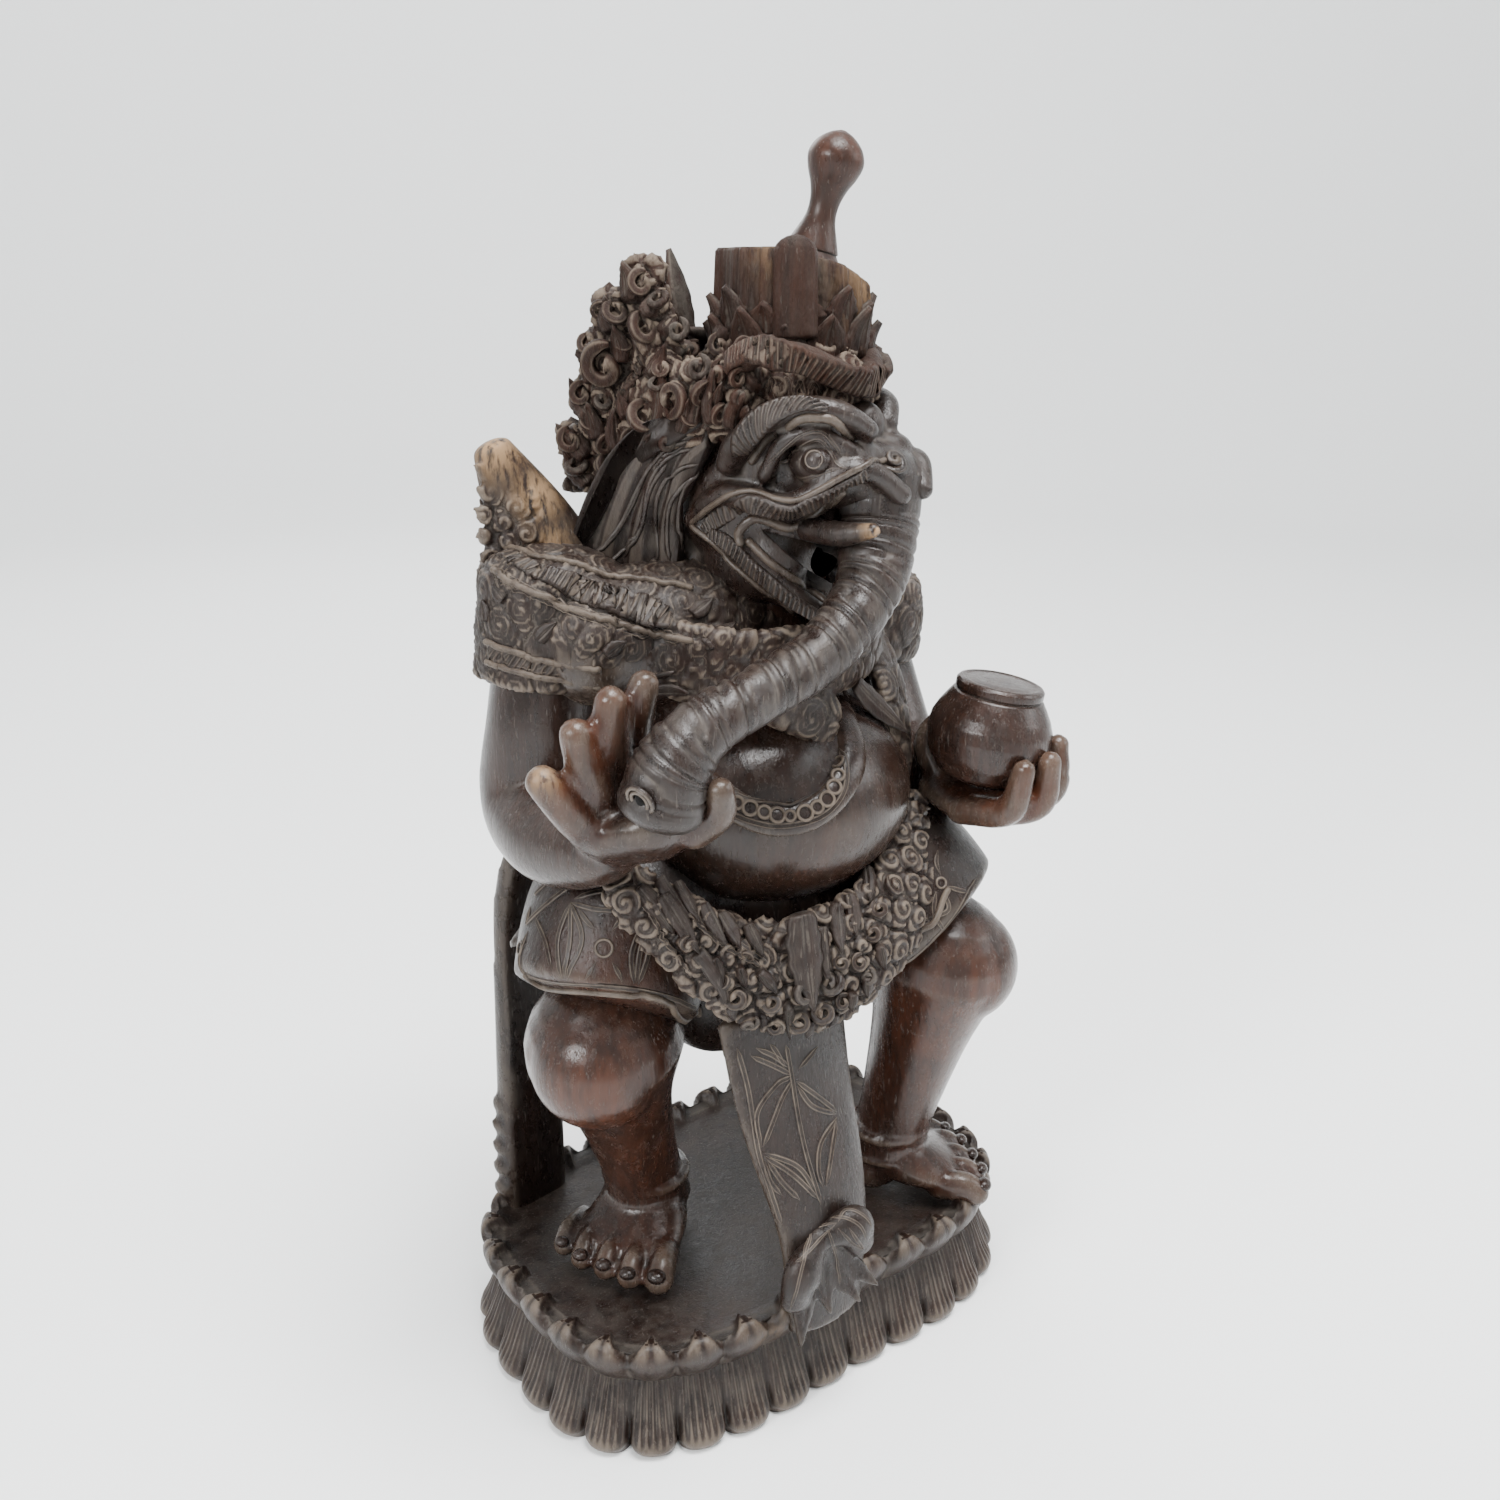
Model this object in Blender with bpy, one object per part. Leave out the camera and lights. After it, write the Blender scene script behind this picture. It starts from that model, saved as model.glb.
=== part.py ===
"""A carved hardwood Ganesha from Bali on a two-tier lotus base, with the turned finial of its crown.

The figure, its clothes, crown and base are carved from one block of wood, so they are one solid. The
finial is a separate piece that stands on the crown's sloping top. Metres, +Z up, the figure faces -Y and
its own left hand is at +X. The origin is the middle of the underside.
"""

import math

import bmesh
import bpy
import numpy as np

# The lotus base, in metres. Its plan is a squared oval, turned a little and drawn in at the middle.
BASE_LENGTH = 0.274
BASE_WIDTH = 0.190
BASE_HEIGHT = 0.055
BASE_TURN = 3.0
BASE_SQUARENESS = 3.0
MIDDLE_DRAWN_IN = 0.005
LOWER_TIER_HEIGHT = 0.036
WAIST_INSET = 0.012
TIP_HEIGHT = 0.009
PETALS = 32
LOWER_PETAL_DEPTH = 0.0050
UPPER_PETAL_DEPTH = 0.0055
RIM_ROUND = 0.005

# The figure stands on the base. Its carving is set out on a height of 457 parts, from soles to crown.
FIGURE_HEIGHT = 0.457
FIGURE_PARTS = 457.0
HEAD_TURN = 21.0
LEFT_FACE_SHARE = 0.77
LEFT_EYE_BACK = 6.0
CHEST_TURN = 13.0
TRUNK_RINGS = 27

# The finial on the crown, and the flat seat that is cut for it in the crown's broken top.
FINIAL_LENGTH = 0.051
FINIAL_FOOT_RADIUS = 0.0122
FINIAL_NECK_RADIUS = 0.0062
FINIAL_BULB_RADIUS = 0.0118
FINIAL_LEAN = 15.0
SEAT_DEPTH = 0.0015
SEAT_CLEARANCE = 0.0006
REST_GAP = 0.0003

# How finely the forms are fused, and how many flat facets the carved block keeps.
FUSE_GRAIN = 0.00214
CARVED_FACETS = 9050

PART = FIGURE_HEIGHT / FIGURE_PARTS
HALF_LENGTH = BASE_LENGTH / 2
HALF_WIDTH = BASE_WIDTH / 2


def at(x, y, z):
    """A point of the figure, given in parts from the middle of the base's top."""
    return np.array([x * PART, y * PART, z * PART + BASE_HEIGHT])


def turned(f, s, z, turn):
    """A point f parts forward and s parts to the figure's right, turned to its left by turn degrees."""
    a = math.radians(turn)
    return at(f * math.sin(a) - s * math.cos(a), -f * math.cos(a) - s * math.sin(a), z)


def head(f, s, z):
    return turned(f, s, z, HEAD_TURN)


def chest(f, s, z):
    return turned(f, s, z, CHEST_TURN)


def stack(rings):
    """A closed solid from rings of points, each joined to the next, with both ends fanned shut."""
    rows, sides, _ = rings.shape
    points = np.concatenate([rings.reshape(-1, 3), rings[0].mean(0)[None], rings[-1].mean(0)[None]])
    row, side = np.meshgrid(np.arange(rows - 1), np.arange(sides), indexing="ij")
    a = (row * sides + side).ravel()
    b = (row * sides + (side + 1) % sides).ravel()
    c, d = a + sides, b + sides
    first, last = rows * sides, rows * sides + 1
    around = np.arange(sides)
    following = (around + 1) % sides
    top = (rows - 1) * sides
    faces = np.concatenate([
        np.stack([a, b, d], 1),
        np.stack([a, d, c], 1),
        np.stack([following, around, np.full(sides, first)], 1),
        np.stack([top + around, top + following, np.full(sides, last)], 1),
    ])
    return points, faces


def along(values, count):
    """Values read from a smooth curve (Catmull-Rom) through the given ones, at count even steps."""
    v = np.array(values, float)
    if len(v) == 2:
        t = np.linspace(0, 1, count)
        t = t.reshape(-1, *([1] * (v.ndim - 1)))
        return v[0] * (1 - t) + v[1] * t
    v = np.concatenate([[2 * v[0] - v[1]], v, [2 * v[-1] - v[-2]]])
    s = np.linspace(0, len(v) - 3 - 1e-9, count)
    i = s.astype(int)
    t = (s - i).reshape(-1, *([1] * (v.ndim - 1)))
    p0, p1, p2, p3 = v[i], v[i + 1], v[i + 2], v[i + 3]
    square = 2 * p0 - 5 * p1 + 4 * p2 - p3
    cube = 3 * p1 - p0 - 3 * p2 + p3
    return 0.5 * (2 * p1 + (p2 - p0) * t + square * t**2 + cube * t**3)


def unit(v):
    return v / np.maximum(np.linalg.norm(v, axis=-1, keepdims=True), 1e-12)


def sweep(points, widths, depths=None, face=(0, 0, 1), rows=14, sides=14, ends=(1.0, 1.0)):
    """An oval section carried along a path. widths and depths are its half sizes in parts, and face is the
    way that the depth points. ends is how far each end is rounded out, as a share of its own depth."""
    depths = widths if depths is None else depths
    path = along(points, rows)
    w = along(np.ravel(widths), rows) * PART
    d = along(np.ravel(depths), rows) * PART
    tangent = unit(np.gradient(path, axis=0))
    across = unit(np.cross(tangent, np.array(face, float)))
    out = unit(np.cross(across, tangent))
    caps = np.radians([78, 52, 26])
    start = [path[0] - tangent[0] * d[0] * ends[0] * np.sin(c) for c in caps]
    stop = [path[-1] + tangent[-1] * d[-1] * ends[1] * np.sin(c) for c in caps[::-1]]
    path = np.concatenate([start, path, stop])
    size = np.concatenate([np.cos(caps), np.ones(rows), np.cos(caps[::-1])])
    w = np.concatenate([[w[0]] * 3, w, [w[-1]] * 3]) * size
    d = np.concatenate([[d[0]] * 3, d, [d[-1]] * 3]) * size
    across = np.concatenate([[across[0]] * 3, across, [across[-1]] * 3])
    out = np.concatenate([[out[0]] * 3, out, [out[-1]] * 3])
    a = np.linspace(0, 2 * np.pi, sides, endpoint=False)
    rings = (
        path[:, None]
        + across[:, None] * (w[:, None] * np.cos(a))[..., None]
        + out[:, None] * (d[:, None] * np.sin(a))[..., None]
    )
    return stack(rings)


def ball(centre, radii, turn=0.0, sides=18):
    """An oval ball. radii are in parts, across, forward and up, and turn is about the upright axis."""
    polar = np.linspace(0.06, np.pi - 0.06, sides // 2 + 1)[::-1]
    a = np.linspace(0, 2 * np.pi, sides, endpoint=False)
    r = np.array(radii) * PART
    x = np.sin(polar)[:, None] * np.cos(a) * r[0]
    y = np.sin(polar)[:, None] * np.sin(a) * r[1]
    z = np.repeat(np.cos(polar)[:, None], sides, 1) * r[2]
    t = math.radians(turn)
    rings = np.stack([x * math.cos(t) - y * math.sin(t), x * math.sin(t) + y * math.cos(t), z], -1)
    return stack(rings + np.array(centre))


def leaf(root, tip, out, width, thick=3.2, curl=0.25):
    """A carved leaf from root to tip: widest below its middle, pointed, and curling out at its tip."""
    root, tip, out = (np.array(p, float) for p in (root, tip, out))
    t = np.linspace(0, 1, 5)[:, None]
    length = np.linalg.norm(tip - root)
    spine = root * (1 - t) + tip * t + unit(out) * length * curl * (t**2 - 0.35 * np.sin(np.pi * t))
    outline = width * np.array([0.75, 1.0, 0.95, 0.62, 0.12])
    body = thick * np.array([1.0, 1.0, 0.9, 0.75, 0.45])
    return sweep(spine, outline, body, face=out, rows=8, sides=8, ends=(0.5, 0.5))


def scroll(centre, axis, start, radius, thick, turns=1.25, rise=0.0):
    """A carved curl: a strip that winds in towards its centre and thickens to a bead there."""
    axis, start = unit(np.array(axis, float)), unit(np.array(start, float))
    across = np.cross(axis, start)
    t = np.linspace(0, 1, 12)
    a = t * turns * 2 * np.pi
    r = radius * PART * (1 - 0.78 * t)
    spine = (
        np.array(centre)
        + start * (r * np.cos(a))[:, None]
        + across * (r * np.sin(a))[:, None]
        + axis * (rise * PART * t)[:, None]
    )
    return sweep(spine, thick * np.array([1.0, 0.9, 0.85, 1.15]), face=axis, rows=20, sides=8)


def oval_band(centre, reach, thick, tall, turn=0.0, tip=0.0):
    """A strap set on edge round an upright oval. reach is the oval's half sizes across and forward, thick
    and tall are the strap's, and tip is how far its front hangs below its sides."""
    a = np.radians(np.linspace(0, 360, 40, endpoint=False))
    t = math.radians(turn)
    x, y = reach[0] * np.sin(a), -reach[1] * np.cos(a)
    ring = np.stack([
        x * math.cos(t) - y * math.sin(t),
        x * math.sin(t) + y * math.cos(t),
        -tip * np.cos(a),
    ], -1)
    path = np.array(centre) + ring * PART
    tangent = unit(np.roll(path, -1, 0) - np.roll(path, 1, 0))
    up = np.array([0, 0, 1.0])
    side = unit(np.cross(tangent, up))
    b = np.linspace(0, 2 * np.pi, 10, endpoint=False)
    rings = (
        path[:, None]
        + side[:, None] * (thick * PART * np.cos(b))[None, :, None]
        + up * (tall * PART * np.sin(b))[None, :, None]
    )
    return hoop(rings)


def hoop(rings):
    """A closed ring of ring-shaped sections, joined each to the next and the last to the first."""
    rows, sides, _ = rings.shape
    row, side = np.meshgrid(np.arange(rows), np.arange(sides), indexing="ij")
    a = (row * sides + side).ravel()
    b = (row * sides + (side + 1) % sides).ravel()
    c = ((row + 1) % rows * sides + side).ravel()
    d = ((row + 1) % rows * sides + (side + 1) % sides).ravel()
    return rings.reshape(-1, 3), np.concatenate([np.stack([a, b, d], 1), np.stack([a, d, c], 1)])


# The lotus base: one body whose side is cut into two rows of petals, hanging below and upturned above.
def base_plan(count):
    """Points along the base's edge, evenly spaced, and the way out from each."""
    fine = np.linspace(0, 2 * np.pi, 6001)
    power = 2 / BASE_SQUARENESS
    x = HALF_LENGTH * np.sign(np.cos(fine)) * np.abs(np.cos(fine)) ** power
    y = HALF_WIDTH * np.sign(np.sin(fine)) * np.abs(np.sin(fine)) ** power
    y *= 1 - MIDDLE_DRAWN_IN / HALF_WIDTH * np.exp(-((x / (HALF_LENGTH * 0.4)) ** 2))
    run = np.concatenate([[0], np.cumsum(np.hypot(np.diff(x), np.diff(y)))])
    steps = np.linspace(0, run[-1], count, endpoint=False)
    x, y = np.interp(steps, run, x), np.interp(steps, run, y)
    t = math.radians(BASE_TURN)
    edge = np.stack([x * math.cos(t) - y * math.sin(t), x * math.sin(t) + y * math.cos(t)], -1)
    tangent = unit(np.roll(edge, -1, 0) - np.roll(edge, 1, 0))
    return edge, np.stack([tangent[:, 1], -tangent[:, 0]], -1)


def lotus_base():
    sides = 8 * PETALS
    edge, out = base_plan(sides)
    turns = np.arange(sides) / sides * PETALS
    lower = (np.abs(np.sin(np.pi * turns)) ** 0.6 - 1) * LOWER_PETAL_DEPTH
    upper = (np.abs(np.cos(np.pi * turns)) ** 0.8 - 1) * UPPER_PETAL_DEPTH
    tall = BASE_HEIGHT
    waist = LOWER_TIER_HEIGHT
    rows = [
        (-0.004, WAIST_INSET * 0.7, lower * 0.5),
        (0.001, WAIST_INSET * 0.25, lower),
        (TIP_HEIGHT * 0.5, 0.0, lower),
        (TIP_HEIGHT, -0.001, lower),
        (TIP_HEIGHT * 1.7, WAIST_INSET * 0.1, lower * 0.9),
        (waist * 0.7, WAIST_INSET * 0.55, lower * 0.5),
        (waist, WAIST_INSET, lower * 0.2),
        (waist + (tall - waist) * 0.2, WAIST_INSET * 0.6, upper * 0.3),
        (waist + (tall - waist) * 0.5, WAIST_INSET * 0.25, upper * 0.8),
        (tall - RIM_ROUND * 0.6, WAIST_INSET * 0.1, upper),
        (tall + RIM_ROUND * 0.3, RIM_ROUND * 0.6, upper),
        (tall + RIM_ROUND * 0.3, RIM_ROUND * 1.2, upper * 0.9),
        (tall, RIM_ROUND * 2.2, upper * 0.5),
        (tall, HALF_WIDTH * 0.5, upper * 0.0),
    ]
    rings = [
        np.concatenate([edge + out * (lobes - inset)[:, None], np.full((sides, 1), z)], 1)
        for z, inset, lobes in rows
    ]
    return [stack(np.array(rings))]


# Legs and feet, bare below the hem of the cloth.
RIGHT_LEG = {
    "knee": (-84, -12, 118),
    "ankle": (-57, 2, 27),
    "girth": (37, 25, 20, 18.5),
    "out": (-0.743, -0.669),
}
LEFT_LEG = {
    "knee": (79, -55, 133),
    "ankle": (68, -34, 27),
    "girth": (34, 25.5, 20.5, 18),
    "out": (0.82, -0.57),
}


# How far each toe reaches forward, how far it lies inward, and its radius, from the big toe on.
TOES = ((44, 20, 8.2), (45, 6, 7.2), (42, -7, 7.0), (38, -20, 6.8), (31, -32, 6.4))
KNEECAP = 0.84


def leg(knee, ankle, girth, out):
    """One leg from knee to toes. out is the way that the foot points, and girth runs from knee to ankle."""
    knee, ankle = np.array(knee, float), np.array(ankle, float)
    steps = [knee, knee * 0.66 + ankle * 0.34, knee * 0.3 + ankle * 0.7, ankle]
    forward = np.array([*out, 0.0])
    medial = np.array([-out[1], out[0], 0.0]) * (1 if out[0] < 0 else -1)
    made = [sweep([at(*p) for p in steps], girth, face=(*out, 0.2), rows=14, sides=18)]
    cap = girth[0] * KNEECAP
    made.append(ball(at(*(knee + forward * 9 - (0, 0, 2))), (cap, cap, cap)))
    anklet = [at(*(ankle + (0, 0, 5))), at(*(ankle - (0, 0, 5)))]
    made.append(sweep(anklet, [girth[-1] + 3] * 2, face=(*out, 0), rows=4, sides=18, ends=(0.2, 0.2)))
    sole = ankle - (0, 0, ankle[2])
    instep = [
        ankle - (0, 0, 6),
        sole + forward * 14 + (0, 0, 14),
        sole + forward * 31 - medial * 3 + (0, 0, 8),
    ]
    made.append(sweep([at(*p) for p in instep], [20, 25, 29], [16, 12, 8], rows=8, sides=16))
    made.append(ball(at(*(sole - forward * 9 + (0, 0, 11))), (17, 17, 14)))
    for reach, side, r in TOES:
        root = sole + forward * (reach - 16) + medial * side * 0.9 + (0, 0, 8)
        tip = sole + forward * reach + medial * side + (0, 0, 4.5)
        made.append(sweep([at(*root), at(*tip)], [r, r], [r, r * 0.85], face=(0, 0, 1), rows=4, sides=10))
    return made


# The cloth over hips and thighs, tucked up above the knees.
def cloth():
    made = [
        ball(at(0, 4, 180), (74, 60, 42), -14),
        ball(at(-6, 14, 122), (37, 33, 42)),
    ]
    right = [(-34, 6, 184), (-66, -4, 176), (-86, -17, 146)]
    left = [(34, -6, 184), (60, -28, 174), (76, -48, 152)]
    for path, out in ((right, RIGHT_LEG["out"]), (left, LEFT_LEG["out"])):
        made.append(sweep([at(*p) for p in path], [46, 45, 42], face=(*out, 0.3), rows=12, sides=22,
                          ends=(1, 0.12)))
    made.append(leaf(at(-84, 18, 196), at(-101, 24, 156), (-0.9, 0.3, 0.2), 20, 7))
    made.append(leaf(at(78, 14, 196), at(96, 18, 156), (0.9, 0.3, 0.2), 20, 7))
    return made


# The apron of scrolls under the belly, and the long sash that falls from it to the base.
def apron():
    path = ((-88, -42, 208), (-68, -62, 187), (-44, -73, 169), (-12, -78, 164), (22, -74, 173),
            (46, -64, 188), (62, -46, 214))
    made = [sweep([at(*p) for p in path], [10, 16, 22, 25, 22, 20, 13], [7, 8, 8, 8, 8, 8, 7],
                  face=(0, -1, 0.2), rows=26, sides=14)]
    made.append(leaf(at(-24, -78, 196), at(-28, -84, 150), (-0.1, -1, 0), 15, 6, 0.04))
    curls = ((-74, -64, 182, 9), (-62, -72, 174, 10), (-52, -78, 160, 9), (-40, -82, 150, 9),
             (-26, -85, 144, 9), (-10, -85, 144, 9), (5, -84, 147, 9), (18, -81, 152, 9),
             (30, -77, 159, 9), (42, -72, 168, 9), (46, -70, 184, 9), (50, -66, 200, 9),
             (-46, -79, 176, 8), (-8, -86, 168, 9), (12, -84, 172, 9), (28, -78, 182, 9))
    for i, (x, y, z, r) in enumerate(curls):
        made.append(scroll(at(x, y, z), (x * 0.01, -1, -0.1), (math.cos(i), 0, math.sin(i)), r, 3.4,
                           1.1, 3))
    return made


def sash():
    path = [at(-25, -66, 148), at(-21, -74, 100), at(-15, -87, 44)]
    foot = at(-13, 0, 0)
    foot[1:] = (-HALF_WIDTH + WAIST_INSET * 0.6, BASE_HEIGHT * 0.82)
    made = [sweep(path + [foot], [35, 32, 26, 22], [8, 8, 8, 8], face=(0.1, -1, -0.1), rows=14, sides=16,
                  ends=(0.3, 0.3))]
    knot = at(-24, -95, 38)
    made.append(ball(knot, (6, 6, 7)))
    made.append(sweep([knot, at(-34, -99, 29), at(-38, -98, 14)], [5, 10, 8], [4, 7, 5], face=(0, -1, 0)))
    made.append(sweep([knot, at(-8, -99, 42), at(-2, -99, 30)], [5, 10, 7], [4, 7, 5], face=(0, -1, 0)))
    ends = ((-39, -98, -8, 8), (-22, -99, 2, 7), (-6, -100, 2, 7), (5, -99, 6, 7))
    for x, y, z, wide in ends:
        made.append(leaf(knot, at(x, y, z), (0, -1, 0.2), wide, 5, 0.12))
    return made


# Two upright tails of cloth at the back, which tie the waist to the base.
def back_tails():
    made = []
    for side, notches in ((-1, 5), (1, 0)):
        path = [at(side * 62, 38, 200), at(side * 82, 60, 178), at(side * 88, 63, 100),
                at(side * 90, 64, -6)]
        made.append(sweep(path, [22, 20, 19, 19], [9, 7, 7, 8], face=(0.2 * side, 1, 0), rows=16,
                          sides=12))
        for i in range(notches):
            edge = side * (108 - 0.5 * i)
            made.append(leaf(at(edge + 2, 63, 4 + 12 * i), at(edge - 2, 64, 10 + 12 * i), (-1, 0.2, 0),
                             6, 5))
    made.append(sweep([at(-66, 30, 200), at(0, 62, 196), at(66, 30, 200)], [22, 24, 22], [9, 9, 9],
                      face=(0, 1, 0)))
    return made


# Torso: the hanging belly, the chest turned to the left, and the broad back. A necklace hangs on the belly.
NECKLACE = ((-52, -44, 252), (-49, -56, 245), (-40, -67, 238), (-29, -73, 235), (-17, -77, 237),
            (-5, -77, 243), (7, -72, 252), (14, -61, 261), (21, -42, 271))


def torso():
    made = [
        ball(at(0, -15, 227), (70, 65, 51), -6, 26),
        ball(at(0, 4, 276), (60, 48, 50), CHEST_TURN, 22),
        ball(at(0, 24, 240), (62, 40, 66), 0, 22),
        sweep([chest(-8, 80, 304), chest(-2, 34, 302), chest(-2, -40, 298), chest(-8, -78, 292)],
              [26, 34, 34, 24], [26, 30, 30, 25], face=(0, 0, 1), rows=12, sides=18),
        sweep([at(0, 6, 296), at(4, -4, 342)], [40, 36], face=(0, 1, 0), rows=6, sides=18),
        oval_band(at(-2, -10, 306), (68, 42), 5, 17, CHEST_TURN, tip=12),
        sweep([at(*p) for p in NECKLACE], [7, 7, 7], [3.5, 3.5, 3.5], face=(-0.2, -1, 0.4), rows=20,
              sides=8),
        sweep([chest(20, -48, 306), chest(40, -54, 274), chest(56, -44, 236), chest(46, -52, 204)],
              [17, 16, 14, 12], [6, 6, 6, 5], face=(0.6, -0.8, 0.2), rows=14, sides=12),
        sweep([chest(16, 52, 308), chest(44, 38, 288), chest(56, 8, 268)], [14, 13, 12], [6, 6, 6],
              face=(0.1, -1, 0.3), rows=10, sides=12),
    ]
    return made


# The right arm, its broad carved sleeve band, and the open hand under the trunk's tip.
RIGHT_ARM = ((-86, 12, 306), (-94, 12, 270), (-98, 17, 234), (-103, -12, 226), (-102, -44, 231),
             (-96, -62, 241))


def right_arm():
    made = [
        sweep([at(*p) for p in RIGHT_ARM], [27, 25.5, 25, 23, 18, 15], [27, 25.5, 25, 22, 17, 12],
              face=(-0.6, 0.3, 1), rows=26, sides=18),
        sweep([at(-88, 12, 330), at(-92, 12, 288)], [31, 31.5], face=(0, 1, 0), rows=5, sides=20,
              ends=(0.45, 0.06)),
        oval_band(at(-88, 12, 328), (28, 27), 3.5, 4),
        sweep([at(-104, -62, 240), at(-90, -74, 244), at(-78, -82, 254)], [19, 23, 15], [10, 11, 8],
              face=(0.2, 0.45, 0.9), rows=8, sides=14),
    ]
    fingers = (
        ((-112, -62, 244), (-124, -66, 258), (-134, -66, 271), 8.4),
        ((-106, -62, 252), (-116, -68, 272), (-121, -69, 288), 8.2),
        ((-100, -60, 258), (-107, -68, 282), (-107, -71, 299), 8.0),
        ((-92, -58, 264), (-94, -66, 288), (-92, -70, 303), 7.6),
        ((-80, -86, 246), (-76, -96, 256), (-79, -102, 267), 7.4),
    )
    for root, knuckle, tip, r in fingers:
        made.append(sweep([at(*root), at(*knuckle), at(*tip)], [r, r, r * 0.82], face=(0, 0.3, 1),
                          rows=7, sides=10))
    return made


# The left arm holds a lidded sweet jar.
LEFT_ARM = ((76, 24, 296), (88, 20, 262), (92, 2, 226), (90, -28, 220), (88, -52, 218))
JAR_CENTRE = (91, -68, 251)
JAR_PROFILE = ((-22, 15), (-19, 21), (-11, 26.5), (-1, 28.5), (8, 27), (15, 23), (20, 19.5),
               (22.5, 18.6), (24, 18))


def left_arm():
    made = [
        sweep([at(*p) for p in LEFT_ARM], [25, 23.5, 23, 18, 15], [25, 23.5, 22, 17, 12],
              face=(0.6, 0.3, 1), rows=22, sides=16),
        oval_band(at(80, 23, 290), (29, 29), 6, 20),
        sweep([at(82, -46, 221), at(90, -64, 217), at(99, -78, 219)], [17, 24, 19], [9, 9, 8],
              face=(0, 0.1, 1), rows=8, sides=14),
    ]
    a = np.linspace(0, 2 * np.pi, 22, endpoint=False)
    lean = np.array([0.829, -0.559, 0.0]) * 0.17
    centre = at(*JAR_CENTRE)
    rings = [
        centre + (np.array([0, 0, 1.0]) + lean) * z * PART
        + np.stack([np.cos(a), np.sin(a), -lean[0] * np.cos(a) - lean[1] * np.sin(a)], -1) * r * PART
        for z, r in JAR_PROFILE
    ]
    made.append(stack(np.array(rings)))
    fingers = (
        ((74, -70, 217), (82, -92, 222), (84, -98, 242)),
        ((84, -74, 215), (98, -94, 222), (100, -98, 243)),
        ((94, -74, 215), (112, -88, 224), (114, -89, 246)),
        ((98, -66, 217), (117, -72, 228), (119, -73, 248)),
        ((78, -52, 224), (78, -40, 240), (84, -42, 252)),
    )
    for root, knuckle, tip in fingers:
        made.append(sweep([at(*root), at(*knuckle), at(*tip)], [7.2, 7, 5.6], face=(0, 0, 1), rows=7,
                          sides=10))
    return made


# Broken stumps of the wings that rose behind the shoulders, with what is left of their leaf scrolls.
def shoulder_stumps():
    made = [
        sweep([at(-84, 22, 318), at(-92, 24, 350), at(-105, 28, 382)], [32, 20, 8.5], [13, 10, 7],
              face=(0.3, 1, 0.1), rows=10, sides=14, ends=(1, 0.6)),
        sweep([at(82, 30, 300), at(88, 36, 330)], [26, 16], [13, 9], face=(0.3, 1, 0.1), rows=8, sides=14,
              ends=(1, 0.6)),
    ]
    for i in range(6):
        made.append(leaf(at(-98, 24, 322 + 9 * i), at(-115, 28, 330 + 9 * i), (0, -1, 0.6), 6, 5))
    return made


# Head: skull, cheeks, heavy brows, open mouth with ribbed lips, tusks, and the raised snout.
def features(side):
    """The carving of one side of the face: side is 1 for the figure's right and -1 for its left."""
    upper_lip = [(2, 38, 353), (13, 41, 362), (24, 42, 366), (38, 41, 364), (50, 38, 364),
                 (61, 34, 370), (70, 29, 377), (78, 21, 376), (84, 10, 367)]
    lower_lip = [(7, 39, 350), (22, 37, 344), (33, 34, 335), (44, 28, 325), (53, 18, 315)]
    brow = [(22, 40, 378), (29, 43, 388), (43, 42, 397), (55, 37, 401), (66, 28, 399), (71, 17, 392)]
    socket = [(38, 39, 374), (48, 40, 388), (60, 35, 391), (70, 26, 385), (74, 18, 378)]
    made = []
    back = 0 if side > 0 else LEFT_EYE_BACK
    side *= 1 if side > 0 else LEFT_FACE_SHARE
    for path, wide, deep, inset in ((upper_lip, 5.0, 4.6, 0), (lower_lip, 4.6, 4.6, 0),
                                    (brow, 6.5, 5.0, back), (socket, 3.2, 3.2, back)):
        made.append(sweep([head(f - inset, s * side, z) for f, s, z in path], [wide] * 3, [deep] * 3,
                          face=(0.01, 0, 1), rows=22, sides=10))
    made.append(ball(head(57 - back, 27 * side, 380), (12, 13, 9.5), HEAD_TURN))
    made.append(ball(head(13, 27 * side, 358), (15, 25, 27), HEAD_TURN))
    made.append(ball(head(19, 22 * side, 337), (17, 28, 20), HEAD_TURN))
    made.append(ball(head(66, 15 * side, 381), (11, 10, 8), HEAD_TURN))
    tusk = [head(50, 24 * side, 351), head(68, 28 * side, 350)]
    if side > 0:
        tusk.append(head(84, 29, 355))
    made.append(sweep(tusk, [8, 7, 3.4][:len(tusk)], face=(0, 0, 1), rows=8, sides=10))
    return made


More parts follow.
